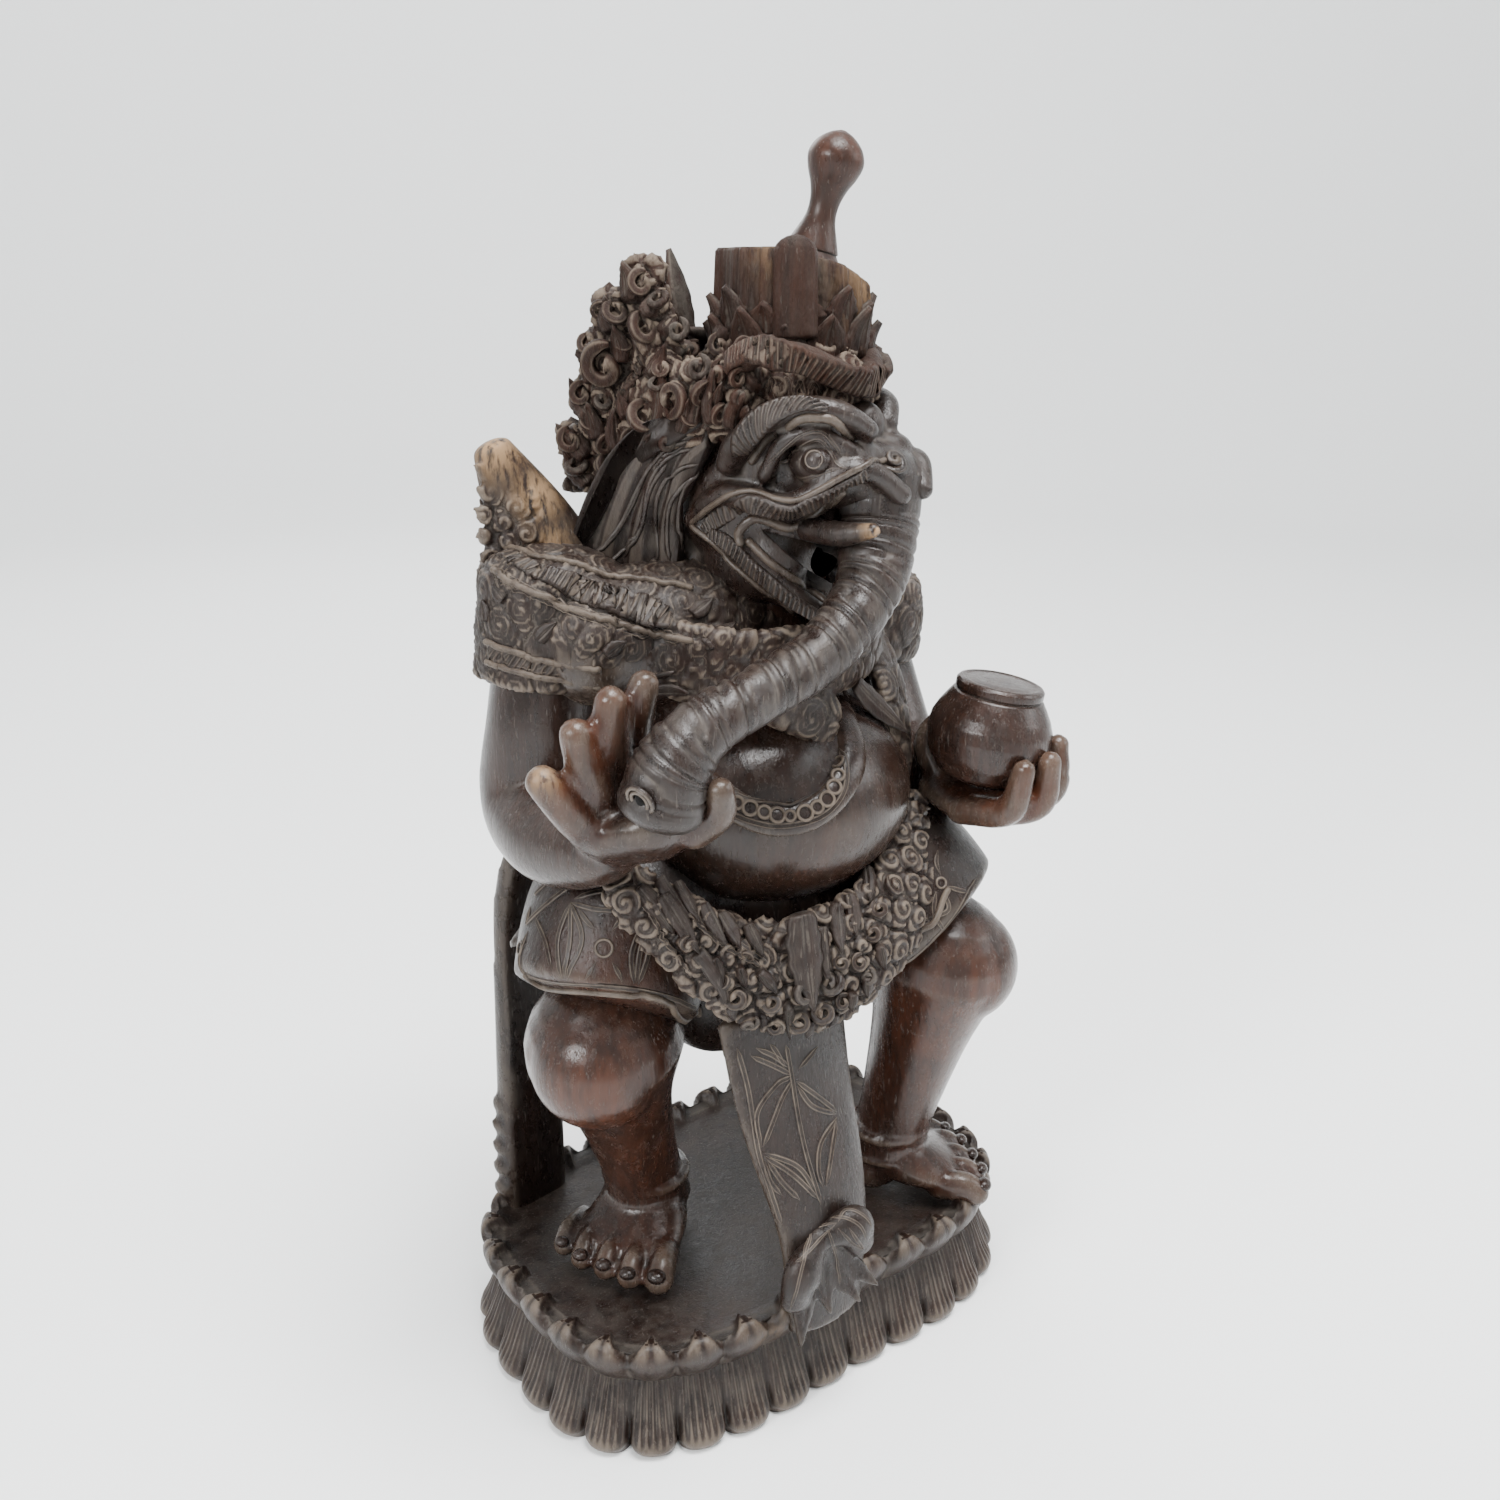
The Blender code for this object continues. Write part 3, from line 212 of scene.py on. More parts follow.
def aged_wood():
    """The node group for old hardwood. Colour runs from near-black to red-brown in slow patches and fine
    upright streaks. Grey dust gathers in hollows and on what faces up, and the deepest hollows are darkened
    towards black as painted shade. Sharp edges are painted lighter, partly as rubbed wear and partly as
    painted highlight, a pit is painted black as shade, and bare wood shows where it is chipped."""
    group = bpy.data.node_groups.new("aged_wood", "ShaderNodeTree")
    face = group.interface
    for name in ("Dust and edge highlight", "Redness", "Polish", "Lightness", "Tool marks"):
        face.new_socket(name, in_out="INPUT", socket_type="NodeSocketFloat")
    face.new_socket("Color", in_out="OUTPUT", socket_type="NodeSocketColor")
    face.new_socket("Roughness", in_out="OUTPUT", socket_type="NodeSocketFloat")
    face.new_socket("Height", in_out="OUTPUT", socket_type="NodeSocketFloat")
    given = node(group, "NodeGroupInput").outputs
    spot = node(group, "ShaderNodeTexCoord").outputs["Object"]

    def math_node(operation, a, b=0.0, clamp=False):
        made = node(group, "ShaderNodeMath", {0: a, 1: b}, operation=operation, use_clamp=clamp)
        return made.outputs[0]

    def noise(scale, detail, stretch=1.0, rough=0.6):
        placed = node(group, "ShaderNodeMapping", {"Vector": spot, "Scale": (1, 1, stretch)})
        made = node(group, "ShaderNodeTexNoise", {
            "Vector": placed.outputs[0], "Scale": scale, "Detail": detail, "Roughness": rough})
        return made.outputs["Fac"]

    def step(value, low, high, out_low=0.0, out_high=1.0):
        made = node(group, "ShaderNodeMapRange", {
            "Value": value, "From Min": low, "From Max": high, "To Min": out_low, "To Max": out_high},
            interpolation_type="SMOOTHSTEP")
        return made.outputs[0]

    def mix(share, a, b):
        made = node(group, "ShaderNodeMix", data_type="RGBA")
        for key, value in (("Factor", share), ("A", a), ("B", b)):
            socket = [s for s in made.inputs if s.name == key and s.enabled][0]
            if isinstance(value, bpy.types.NodeSocket):
                group.links.new(value, socket)
            else:
                socket.default_value = value
        return [s for s in made.outputs if s.enabled][0]

    hollow = node(group, "ShaderNodeAttribute", attribute_name="hollow").outputs["Fac"]
    rubbed = node(group, "ShaderNodeAttribute", attribute_name="rubbed").outputs["Fac"]
    bare = node(group, "ShaderNodeAttribute", attribute_name="bare").outputs["Fac"]
    patches = noise(14, 4)
    streaks = noise(160, 5, 0.07, 0.7)
    pores = step(noise(900, 2, 0.12), 0.62, 0.72)
    grime = noise(120, 6, 0.6, 0.75)
    red = math_node("ADD", given["Redness"], rubbed)
    red = math_node("MULTIPLY", red, step(patches, 0.25, 0.75, 0.45, 1.35), True)
    wood = mix(red, (0.0085, 0.0063, 0.0054, 1), (0.056, 0.019, 0.0095, 1))
    wood = mix(step(streaks, 0.35, 0.7, 0.0, 0.65), wood, (0.0050, 0.0040, 0.0037, 1))
    wood = mix(math_node("MULTIPLY", pores, 0.30), wood, (0.13, 0.108, 0.092, 1))
    facing = node(group, "ShaderNodeNewGeometry").outputs["Normal"]
    upward = node(group, "ShaderNodeSeparateXYZ", {0: facing})
    settled = math_node("MULTIPLY", step(upward.outputs["Z"], 0.1, 1.0), 0.14)
    settled = math_node("ADD", settled, step(hollow, 0.05, 0.75, 0.0, 0.85))
    settled = math_node("ADD", settled, 0.12)
    settled = math_node("MULTIPLY", settled, step(grime, 0.38, 0.64, 0.05, 1.5))
    settled = math_node("MULTIPLY", settled, given["Dust and edge highlight"], True)
    colour = mix(settled, wood, (0.066, 0.055, 0.046, 1))
    # Painted shade: the deepest hollows are darkened towards black.
    depth = step(hollow, 0.55, 1.0, 0.0, 0.55)
    colour = mix(depth, colour, (0.006, 0.0047, 0.0041, 1))
    # Sharp edges painted lighter, partly as rubbed wear and partly as painted highlight, scaled by the dust
    # setting.
    worn_and_highlit = math_node("MULTIPLY", step(hollow, -0.75, -0.12, 0.85, 0.0), step(grime, 0.33, 0.60, 0.35, 1.0))
    colour = mix(math_node("MULTIPLY", worn_and_highlit, given["Dust and edge highlight"]), colour, (0.150, 0.118, 0.090, 1))
    # Painted shade: a pit is painted black.
    colour = mix(step(hollow, 1.1, 1.5), colour, (0.0015, 0.0012, 0.0010, 1))
    chips = math_node("MULTIPLY", bare, step(noise(330, 4, 0.3), 0.34, 0.56), True)
    colour = mix(chips, colour, (0.25, 0.155, 0.080, 1))
    bright = node(group, "ShaderNodeHueSaturation", {"Value": given["Lightness"], "Color": colour})
    sheen = math_node("MULTIPLY", given["Polish"], -0.40)
    rough = math_node("ADD", math_node("ADD", sheen, 0.55), math_node("MULTIPLY", settled, 0.30))
    rough = math_node("ADD", rough, step(grime, 0.3, 0.7, -0.06, 0.10))
    rough = math_node("ADD", rough, math_node("MULTIPLY", chips, 0.3))
    rough = math_node("ADD", rough, step(hollow, 1.1, 1.5), True)
    marks = math_node("MULTIPLY", noise(420, 5, 0.35, 0.7), given["Tool marks"])
    height = math_node("ADD", math_node("MULTIPLY", streaks, 0.35), marks)
    height = math_node("SUBTRACT", height, math_node("MULTIPLY", pores, 0.25))
    node(group, "NodeGroupOutput", {"Color": bright.outputs[0], "Roughness": rough, "Height": height})
    return group


AGED_WOOD = aged_wood()


def wood_finish(name, dust, redness, polish, lightness=1.0, marks=0.3, bump=0.0006, shine=0.25):
    """A material of the aged wood, with this piece's own dust, redness, polish and so on. dust also sets how
    far its sharp edges are painted lighter, as wear and as painted highlight. bump is the height of its tool
    marks in metres, and shine is how much light its surface throws back."""
    material = bpy.data.materials.new(name)
    material.use_nodes = True
    tree = material.node_tree
    shader = tree.nodes["Principled BSDF"]
    body = node(tree, "ShaderNodeGroup", node_tree=AGED_WOOD)
    for key, value in (("Dust and edge highlight", dust), ("Redness", redness), ("Polish", polish), ("Lightness", lightness),
                       ("Tool marks", marks)):
        body.inputs[key].default_value = value
    raised = node(tree, "ShaderNodeBump", {
        "Height": body.outputs["Height"], "Strength": 1.0, "Distance": bump})
    tree.links.new(body.outputs["Color"], shader.inputs["Base Color"])
    tree.links.new(body.outputs["Roughness"], shader.inputs["Roughness"])
    tree.links.new(raised.outputs["Normal"], shader.inputs["Normal"])
    shader.inputs["Specular IOR Level"].default_value = shine
    return material


POLISHED = wood_finish("polished_dark_wood", dust=0.36, redness=0.24, polish=0.88, lightness=0.95, shine=0.32)
DUSTY = wood_finish("dusty_carved_wood", dust=0.85, redness=0.16, polish=0.45, marks=0.7, shine=0.22)
BASE_WOOD = wood_finish("base_wood", dust=0.80, redness=0.16, polish=0.55, marks=0.6, shine=0.24)
# The flat top of the base: dark wood, darkened further as painted shade where the figure stands over it.
BASE_TOP_WOOD_AND_PAINTED_SHADE = wood_finish("base_top_wood_and_painted_shade", dust=0.15, redness=0.20, polish=0.35, lightness=0.7, marks=0.9,
                            shine=0.04)


def base_plan(count):
    """Points along the base's edge and the way out from each: a squared oval (power 3), drawn in at the
    middle of its long sides and turned a little."""
    fine = np.linspace(0, 2 * np.pi, 12001)
    x = BASE_LENGTH / 2 * np.sign(np.cos(fine)) * np.abs(np.cos(fine)) ** (2 / 3)
    y = BASE_WIDTH / 2 * np.sign(np.sin(fine)) * np.abs(np.sin(fine)) ** (2 / 3)
    y *= 1 - MIDDLE_DRAWN_IN / (BASE_WIDTH / 2) * np.exp(-((x / (BASE_LENGTH * 0.2)) ** 2))
    run = np.concatenate([[0], np.cumsum(np.hypot(np.diff(x), np.diff(y)))])
    steps = np.linspace(0, run[-1], count, endpoint=False)
    x, y = np.interp(steps, run, x), np.interp(steps, run, y)
    t = math.radians(BASE_TURN)
    edge = np.stack([x * math.cos(t) - y * math.sin(t), x * math.sin(t) + y * math.cos(t)], -1)
    tangent = unit(np.roll(edge, -1, 0) - np.roll(edge, 1, 0))
    return edge, np.stack([tangent[:, 1], -tangent[:, 0]], -1)


def petal_skirt():
    """The lower tier. Across a petal the edge is a half sine that bulges out; down it the side is a slow
    curve from the waist to the tip, and a fan of grooves cut by a sharpened sine closes towards the waist."""
    sides = PETALS * COLUMNS_PER_PETAL
    edge, out = base_plan(sides)
    u = np.arange(sides) / COLUMNS_PER_PETAL % 1 * 2 - 1
    height = np.concatenate([np.linspace(0, 0.010, 7), np.linspace(0.0115, LOWER_TIER, 13)])
    v = (height / LOWER_TIER)[:, None]
    round_tip = np.sqrt(np.clip(1 - np.abs(u) ** 2.6, 0, 1))[None]
    foot_gap = 0.0065 * (1 - round_tip) * np.exp(-((v / 0.42) ** 2))
    inset = WAIST_INSET * np.clip(v * 1.05, 0, 1) ** 1.25 - 0.0015 * np.exp(-(((v - 0.22) / 0.16) ** 2))
    under = 0.0035 * np.clip(1 - v / 0.16, 0, 1) ** 2
    valley = 0.0042 * (1 - round_tip**0.8) * (1 - 0.55 * v)
    fan = u[None] * (1 + 0.25 * v)
    ribs = 0.5 + 0.5 * np.cos(np.pi * GROOVES_PER_PETAL * fan)
    cut_in = 0.0016 * (1 - ribs) ** 1.6 * np.clip((v - 0.16) / 0.2, 0, 1)
    cut_in = cut_in * np.clip((1 - np.abs(u)) * 6, 0, 1)
    lobe = inset + under + valley + cut_in + foot_gap
    plan = edge[None] - out[None] * lobe[..., None]
    lift = 0.0045 * (1 - round_tip) * np.exp(-((v / 0.12) ** 2))
    z = np.repeat(height[:, None], sides, 1) + lift
    z[0] = 0.0
    # Rib tops and plain petal faces sit below zero, so they are painted lighter, as wear and as painted
    # highlight; the grooves take dust and painted shade.
    hollow = np.clip(cut_in / 0.0016 * 1.3 + valley / 0.0042 * 0.6 + v * 0.2 - 0.62, -0.75, 1)
    rings = np.concatenate([plan, z[..., None]], 2)
    lid = rings[-1].copy()
    lid[:, :2] *= 0.6
    floor = rings[0].copy()
    floor[:, :2] *= 0.6
    rings = np.concatenate([floor[None], rings, lid[None]])
    hollow = np.concatenate([hollow[:1], hollow, hollow[-1:]])
    return skin(rings, hollow)


def upper_tier():
    """The upper tier: a smooth profile of heights and insets that rises from the waist, bulges at the rim
    and turns over to the flat top. The tips of its leaves are a triangle wave along the edge, raised above
    the cut-back ground between them by a steep S-curve."""
    sides = RIM_LEAVES * COLUMNS_PER_LEAF
    edge, out = base_plan(sides)
    u = np.abs(np.arange(sides) / COLUMNS_PER_LEAF % 1 * 2 - 1)
    profile = along([(0.0320, 0.0150), (0.0345, 0.0120), (0.0400, 0.0075), (0.0465, 0.0045), (0.0525, 0.0038),
                     (0.0568, 0.0062), (0.0574, 0.0105), (0.0566, 0.0160), (0.0552, 0.0215)], RIM_ROWS)
    t = np.linspace(0, 1, RIM_ROWS)[:, None]
    tip = 0.90 - 0.50 * u[None]
    inside = 1 / (1 + np.exp((t - tip) * 52))
    ground = np.clip((t - 0.30) * 5, 0, 1) * (1 - inside)
    vein = 0.0006 * np.exp(-((u[None] / 0.10) ** 2)) * inside * np.clip((t - 0.2) * 4, 0, 1)
    notch = 0.0028 * u[None] ** 3 * np.clip((0.62 - t) * 3, 0, 1) * np.clip(t * 4, 0, 1)
    slope = np.gradient(profile, axis=0)
    outward = unit(np.stack([slope[:, 0], slope[:, 1]], 1))
    fold = 0.0012 * (1 - u[None]) * inside * np.clip((t - 0.3) * 4, 0, 1)
    sink = 0.0050 * ground + vein + notch - fold
    inset = profile[:, 1:2] + outward[:, 0:1] * sink
    z = profile[:, 0:1] + outward[:, 1:2] * sink * -1.0
    plan = edge[None] - out[None] * inset[..., None]
    rings = np.concatenate([plan, z[..., None]], 2)
    # The raised leaves sit below zero, so they are painted lighter, as wear and as painted highlight; the
    # cut-back ground takes dust and painted shade.
    hollow = np.clip(ground * np.exp(-(((t - 0.7) / 0.3) ** 2)) + vein / 0.0006 * 0.5 + notch / 0.0028 * 0.5
                     + np.exp(-((t / 0.2) ** 2)) * 0.5, 0, 1)
    hollow = (hollow - 0.6 * inside * np.clip((t - 0.35) * 4, 0, 1)) * np.clip((0.93 - t) * 12, 0, 1)
    return skin(rings, hollow)


lotus = mesh_of("lotus_base", [petal_skirt(), upper_tier()])
finish_piece(
    lotus, BASE_WOOD,
    bare=((-0.135, -0.07, 0.048, 0.010, 0.7), (-0.095, -0.098, 0.045, 0.009, 0.9),
          (-0.045, -0.098, 0.045, 0.008, 1.0), (-0.125, -0.085, 0.05, 0.012, 0.5)),
)
# The flat top faces take the darker finish, with its painted shade.
lotus.data.materials.append(BASE_TOP_WOOD_AND_PAINTED_SHADE)
lies_flat = [p.normal.z > 0.97 and p.center.z > BASE_TOP - 0.001 for p in lotus.data.polygons]
lotus.data.polygons.foreach_set("material_index", np.array(lies_flat, np.int32))


# Legs and feet, bare below the hem: broad knees rubbed red-brown, calves that narrow to an anklet with two
# rims, and short feet with round toes and cut nails. They grow out of the base's top.
def limb(points, widths, depths=None, face=(0, 0, 1), rows=30, sides=32, ends=(1.0, 1.0), power=1.0):
    """A limb: an oval section carried along a smooth path and rounded off at both ends by a quarter circle.
    widths and depths are its half sizes in parts, and face is the way that the depth points. The section is
    x = cos(a) ** power, y = sin(a) ** power, so that a low power squares it off."""
    depths = widths if depths is None else depths
    path = along(points, rows)
    w = along(np.ravel(widths), rows) * 0.001
    d = along(np.ravel(depths), rows) * 0.001
    tangent = unit(np.gradient(path, axis=0))
    across = unit(np.cross(tangent, np.array(face, float)))
    out = unit(np.cross(across, tangent))
    caps = np.radians([84, 68, 50, 34, 17])
    start = path[0] - tangent[0] * (d[0] * ends[0] * np.sin(caps))[:, None]
    stop = path[-1] + tangent[-1] * (d[-1] * ends[1] * np.sin(caps[::-1]))[:, None]
    path = np.concatenate([start, path, stop])
    size = np.concatenate([np.cos(caps), np.ones(rows), np.cos(caps[::-1])])
    w = np.concatenate([[w[0]] * 5, w, [w[-1]] * 5]) * size
    d = np.concatenate([[d[0]] * 5, d, [d[-1]] * 5]) * size
    across = np.concatenate([[across[0]] * 5, across, [across[-1]] * 5])
    out = np.concatenate([[out[0]] * 5, out, [out[-1]] * 5])
    a = np.linspace(0, 2 * np.pi, sides, endpoint=False)
    x = np.sign(np.cos(a)) * np.abs(np.cos(a)) ** power
    y = np.sign(np.sin(a)) * np.abs(np.sin(a)) ** power
    rings = (
        path[:, None]
        + across[:, None] * (w[:, None] * x)[..., None]
        + out[:, None] * (d[:, None] * y)[..., None]
    )
    return skin(rings)


def swelling(centre, radii, turn=0.0, sides=36):
    """A rounded swelling of the body: an ellipsoid with half sizes across, forward and up, turned about
    the upright axis."""
    polar = np.linspace(0.03, np.pi - 0.03, sides // 2 + 1)[::-1]
    a = np.linspace(0, 2 * np.pi, sides, endpoint=False)
    r = np.array(radii) * 0.001
    x = np.sin(polar)[:, None] * np.cos(a) * r[0]
    y = np.sin(polar)[:, None] * np.sin(a) * r[1]
    z = np.repeat(np.cos(polar)[:, None], sides, 1) * r[2]
    t = math.radians(turn)
    rings = np.stack([x * math.cos(t) - y * math.sin(t), x * math.sin(t) + y * math.cos(t), z], -1)
    return skin(rings + np.array(centre))


def girdle(centre, reach, thick, tall, turn=0.0, tip=0.0, count=120, sides=14):
    """A strap set on edge round an upright oval, closed on itself. Its front hangs below its sides by tip,
    as a cosine of the way round."""
    a = np.linspace(0, 2 * np.pi, count, endpoint=False)
    t = math.radians(turn)
    x, y = reach[0] * np.sin(a), -reach[1] * np.cos(a)
    path = np.array(centre) + 0.001 * np.stack([
        x * math.cos(t) - y * math.sin(t), x * math.sin(t) + y * math.cos(t), -tip * np.cos(a)], -1)
    tangent = unit(np.roll(path, -1, 0) - np.roll(path, 1, 0))
    side = unit(np.cross(tangent, np.array([0, 0, 1.0])))
    b = np.linspace(0, 2 * np.pi, sides, endpoint=False)
    wide = np.sign(np.cos(b)) * np.abs(np.cos(b)) ** 0.7 * thick * 0.001
    high = np.sign(np.sin(b)) * np.abs(np.sin(b)) ** 0.7 * tall * 0.001
    upright = np.array([0, 0, 1.0])
    rings = path[:, None] + side[:, None] * wide[None, :, None] + upright * high[None, :, None]
    return skin(rings, closed=True)


def baked(obj):
    """The object's mesh with its modifiers made fast."""
    bpy.context.view_layer.update()
    graph = bpy.context.evaluated_depsgraph_get()
    mesh = bpy.data.meshes.new_from_object(obj.evaluated_get(graph))
    obj.modifiers.clear()
    obj.data = mesh
    return mesh


def depth_below(mesh, rounds, reach):
    """How deep each point lies: its distance under the mean of its surroundings, along the way out of the
    wood, as a share of reach. The mean is taken by halving towards the neighbours' mean, round by round."""
    count = len(mesh.vertices)
    points = corners(mesh)
    outward = np.empty(count * 3)
    mesh.vertices.foreach_get("normal", outward)
    pairs = np.empty(len(mesh.edges) * 2, int)
    mesh.edges.foreach_get("vertices", pairs)
    i, j = pairs.reshape(-1, 2).T
    friends = (np.bincount(i, minlength=count) + np.bincount(j, minlength=count))[:, None]
    mean = points.copy()
    for _ in range(rounds):
        total = [np.bincount(i, mean[j, k], count) + np.bincount(j, mean[i, k], count) for k in range(3)]
        mean = 0.5 * mean + 0.5 * np.stack(total, 1) / friends
    return np.clip(np.einsum("ij,ij->i", mean - points, outward.reshape(-1, 3)) / reach, -1, 1)


def hewn(name, forms, grain, easing):
    """Rough forms fused into one skin of even grain, then eased so that they flow into each other."""
    block = mesh_of(name, forms)
    fuse = block.modifiers.new("fuse", "REMESH")
    fuse.mode = "VOXEL"
    fuse.voxel_size = grain
    ease = block.modifiers.new("ease", "SMOOTH")
    ease.factor = 0.5
    ease.iterations = easing
    baked(block)
    return block


def scrollwork(obj, given, spacing, depth, pitch=0.0036, seed=1, keep=None):
    """Cuts a field of scrolls into a hewn piece, at the given places and then at random ones that lie no
    nearer than spacing. A point belongs to its nearest scroll: its height is a dome, plus a ridge that winds
    in as the cosine of distance over pitch plus the angle, less a groove where two scrolls meet."""
    mesh = obj.data
    points = corners(mesh)
    outward = np.empty(points.size)
    mesh.vertices.foreach_get("normal", outward)
    outward = outward.reshape(-1, 3)
    spots = np.array(given, float).reshape(-1, 3)
    for p in points[np.random.default_rng(seed).permutation(len(points))[:5000]]:
        if len(spots) == 0 or np.min(np.linalg.norm(spots - p, axis=1)) > spacing:
            spots = np.concatenate([spots, p[None]])
    owner, first_gap, next_gap = [], [], []
    for batch in np.array_split(points, max(1, len(points) // 8000)):
        gaps = np.linalg.norm(batch[:, None] - spots[None], axis=2)
        order = np.argpartition(gaps, 1, axis=1)[:, :2]
        pair = np.take_along_axis(gaps, order, 1)
        owner.append(np.where(pair[:, 0] <= pair[:, 1], order[:, 0], order[:, 1]))
        first_gap.append(pair.min(1))
        next_gap.append(pair.max(1))
    owner, first_gap, next_gap = (np.concatenate(v) for v in (owner, first_gap, next_gap))
    right = unit(np.cross(outward, np.array([0.3, 0.1, 1.0])))
    upper = np.cross(outward, right)
    way = points - spots[owner]
    angle = np.arctan2(np.einsum("ij,ij->i", way, upper), np.einsum("ij,ij->i", way, right))
    hand = np.where(owner % 2 == 0, 1.0, -1.0)
    winding = 0.5 + 0.5 * np.cos(2 * np.pi * first_gap / pitch + hand * angle + owner)
    fan = np.abs(np.cos(2.5 * angle + owner)) ** 0.6
    ridge = np.where(owner % 5 == 4, fan, winding ** 0.8)
    bead = np.exp(-((first_gap / 0.0014) ** 2))
    groove = np.exp(-(((next_gap - first_gap) / 0.0012) ** 2))
    dome = np.clip(1 - (first_gap / spacing) ** 2, 0, 1)
    height = depth * (0.45 * dome + 0.6 * ridge + 0.5 * bead - 0.85 * groove - 0.35)
    height = height if keep is None else height * keep(points)
    mesh.vertices.foreach_set("co", (points + outward * height[:, None]).ravel())
    mesh.update()


def mark_hollows(obj, rounds=30, reach=0.0012):
    """Keeps the depth of every point of a hewn piece as the attribute that dust follows; the deepest hollows
    are also painted dark as shade, and sharp edges painted lighter, as wear and as painted highlight.
    """
    mesh = obj.data
    old = mesh.attributes.get("hollow")
    if old:
        mesh.attributes.remove(old)
    mesh.attributes.new("hollow", "FLOAT", "POINT").data.foreach_set(
        "value", depth_below(mesh, rounds, reach))


RIGHT_LEG = {
    "knee": (-84, -12, 118), "ankle": (-57, 2, 27), "girth": (37, 25, 20, 18.5), "out": (-0.743, -0.669)}
LEFT_LEG = {
    "knee": (79, -55, 133), "ankle": (68, -34, 27), "girth": (34, 25.5, 20.5, 18), "out": (0.82, -0.57)}
TOES = ((44, 20, 8.2), (45, 6, 7.2), (42, -7, 7.0), (38, -20, 6.8), (31, -32, 6.4))
KNEECAP = 0.85


def leg(knee, ankle, girth, out):
    """One leg from knee to toes: a tapering limb, an anklet, a wedge of a foot and five toes in a curved
    row. out is the way that the foot points, and girth runs from knee to ankle."""
    knee, ankle = np.array(knee, float), np.array(ankle, float)
    forward = np.array([*out, 0.0])
    inner = np.array([-out[1], out[0], 0.0]) * (1 if out[0] < 0 else -1)
    steps = [knee, knee * 0.66 + ankle * 0.34, knee * 0.3 + ankle * 0.7, ankle]
    made = [limb([at(*p) for p in steps], girth, face=(*out, 0.2), rows=40, sides=48)]
    cap = knee + forward * 9 - (0, 0, 2)
    made.append(swelling(at(*cap), [girth[0] * KNEECAP] * 3))
    for lift, size, tall in ((6.5, 3.4, 1.2), (-6.5, 3.4, 1.2), (0, 2.2, 6)):
        ring = [at(*(ankle + (0, 0, lift + tall))), at(*(ankle + (0, 0, lift - tall)))]
        made.append(limb(ring, [girth[-1] + size] * 2, face=(*out, 0), rows=6, sides=48, ends=(0.05, 0.05)))
    sole = ankle * (1, 1, 0)
    instep = [ankle - (0, 0, 6), sole + forward * 14 + (0, 0, 14),
              sole + forward * 31 - inner * 3 + (0, 0, 8)]
    made.append(limb([at(*p) for p in instep], [20, 25, 27], [16, 12, 7], rows=20, sides=36))
    made.append(swelling(at(*(sole - forward * 9 + (0, 0, 11))), (17, 17, 14)))
    for reach, side, r in TOES:
        root = sole + forward * (reach - 18) + inner * side * 0.9 + (0, 0, 8)
        middle = sole + forward * (reach - 7) + inner * side + (0, 0, 8.5)
        tip = sole + forward * reach + inner * side + (0, 0, 5)
        made.append(limb([at(*root), at(*middle), at(*tip)], [r * 0.84, r * 0.78, r * 0.88],
                         [r, r * 0.95, r * 0.8], rows=14, sides=22))
    return made


def toenails(ankle, out):
    """A small raised shield on each toe, tilted forward."""
    ankle = np.array(ankle, float)
    forward = np.array([*out, 0.0])
    inner = np.array([-out[1], out[0], 0.0]) * (1 if out[0] < 0 else -1)
    made = []
    for reach, side, r in TOES:
        middle = ankle * (1, 1, 0) + forward * (reach + r * 0.42) + inner * side + (0, 0, 6.5 + r * 0.38)
        turn = math.degrees(math.atan2(out[1], out[0])) + 90
        made.append(swelling(at(*middle), (r * 0.56, r * 0.5, r * 0.40), turn, 16))
    return made


legs = hewn("legs_and_feet", leg(**RIGHT_LEG) + leg(**LEFT_LEG), grain=0.0017, easing=1)
mark_hollows(legs, rounds=15)
finish_piece(
    legs, POLISHED,
    rubbed=((-0.095, -0.03, 0.160, 0.035, 0.9), (0.09, -0.07, 0.17, 0.05, 1.1),
            (0.085, -0.06, 0.12, 0.05, 0.9), (-0.07, -0.02, 0.12, 0.03, 0.5),
            (-0.09, -0.04, 0.06, 0.03, 0.5)),
)
nails = mesh_of("toenails", toenails(RIGHT_LEG["ankle"], RIGHT_LEG["out"])
                + toenails(LEFT_LEG["ankle"], LEFT_LEG["out"]))
finish_piece(nails, POLISHED)


# The cloth over hips and thighs, with a rolled double hem above each knee and a leaf-shaped flap at each
# side. It is carved smooth, then incised with long leaves and small flowers.
CLOTH = wood_finish("incised_cloth_wood", dust=0.34, redness=0.16, polish=0.70, lightness=0.75, marks=0.7,
                    shine=0.26)
# The cut lines take the full dust, so their burrs are painted lightest, as wear and as painted highlight, and
# their grooves take painted shade.
CUT_LINES = wood_finish("cut_lines_worn_and_highlit", dust=1.0, redness=0.10, polish=0.55, marks=0.4, shine=0.26)


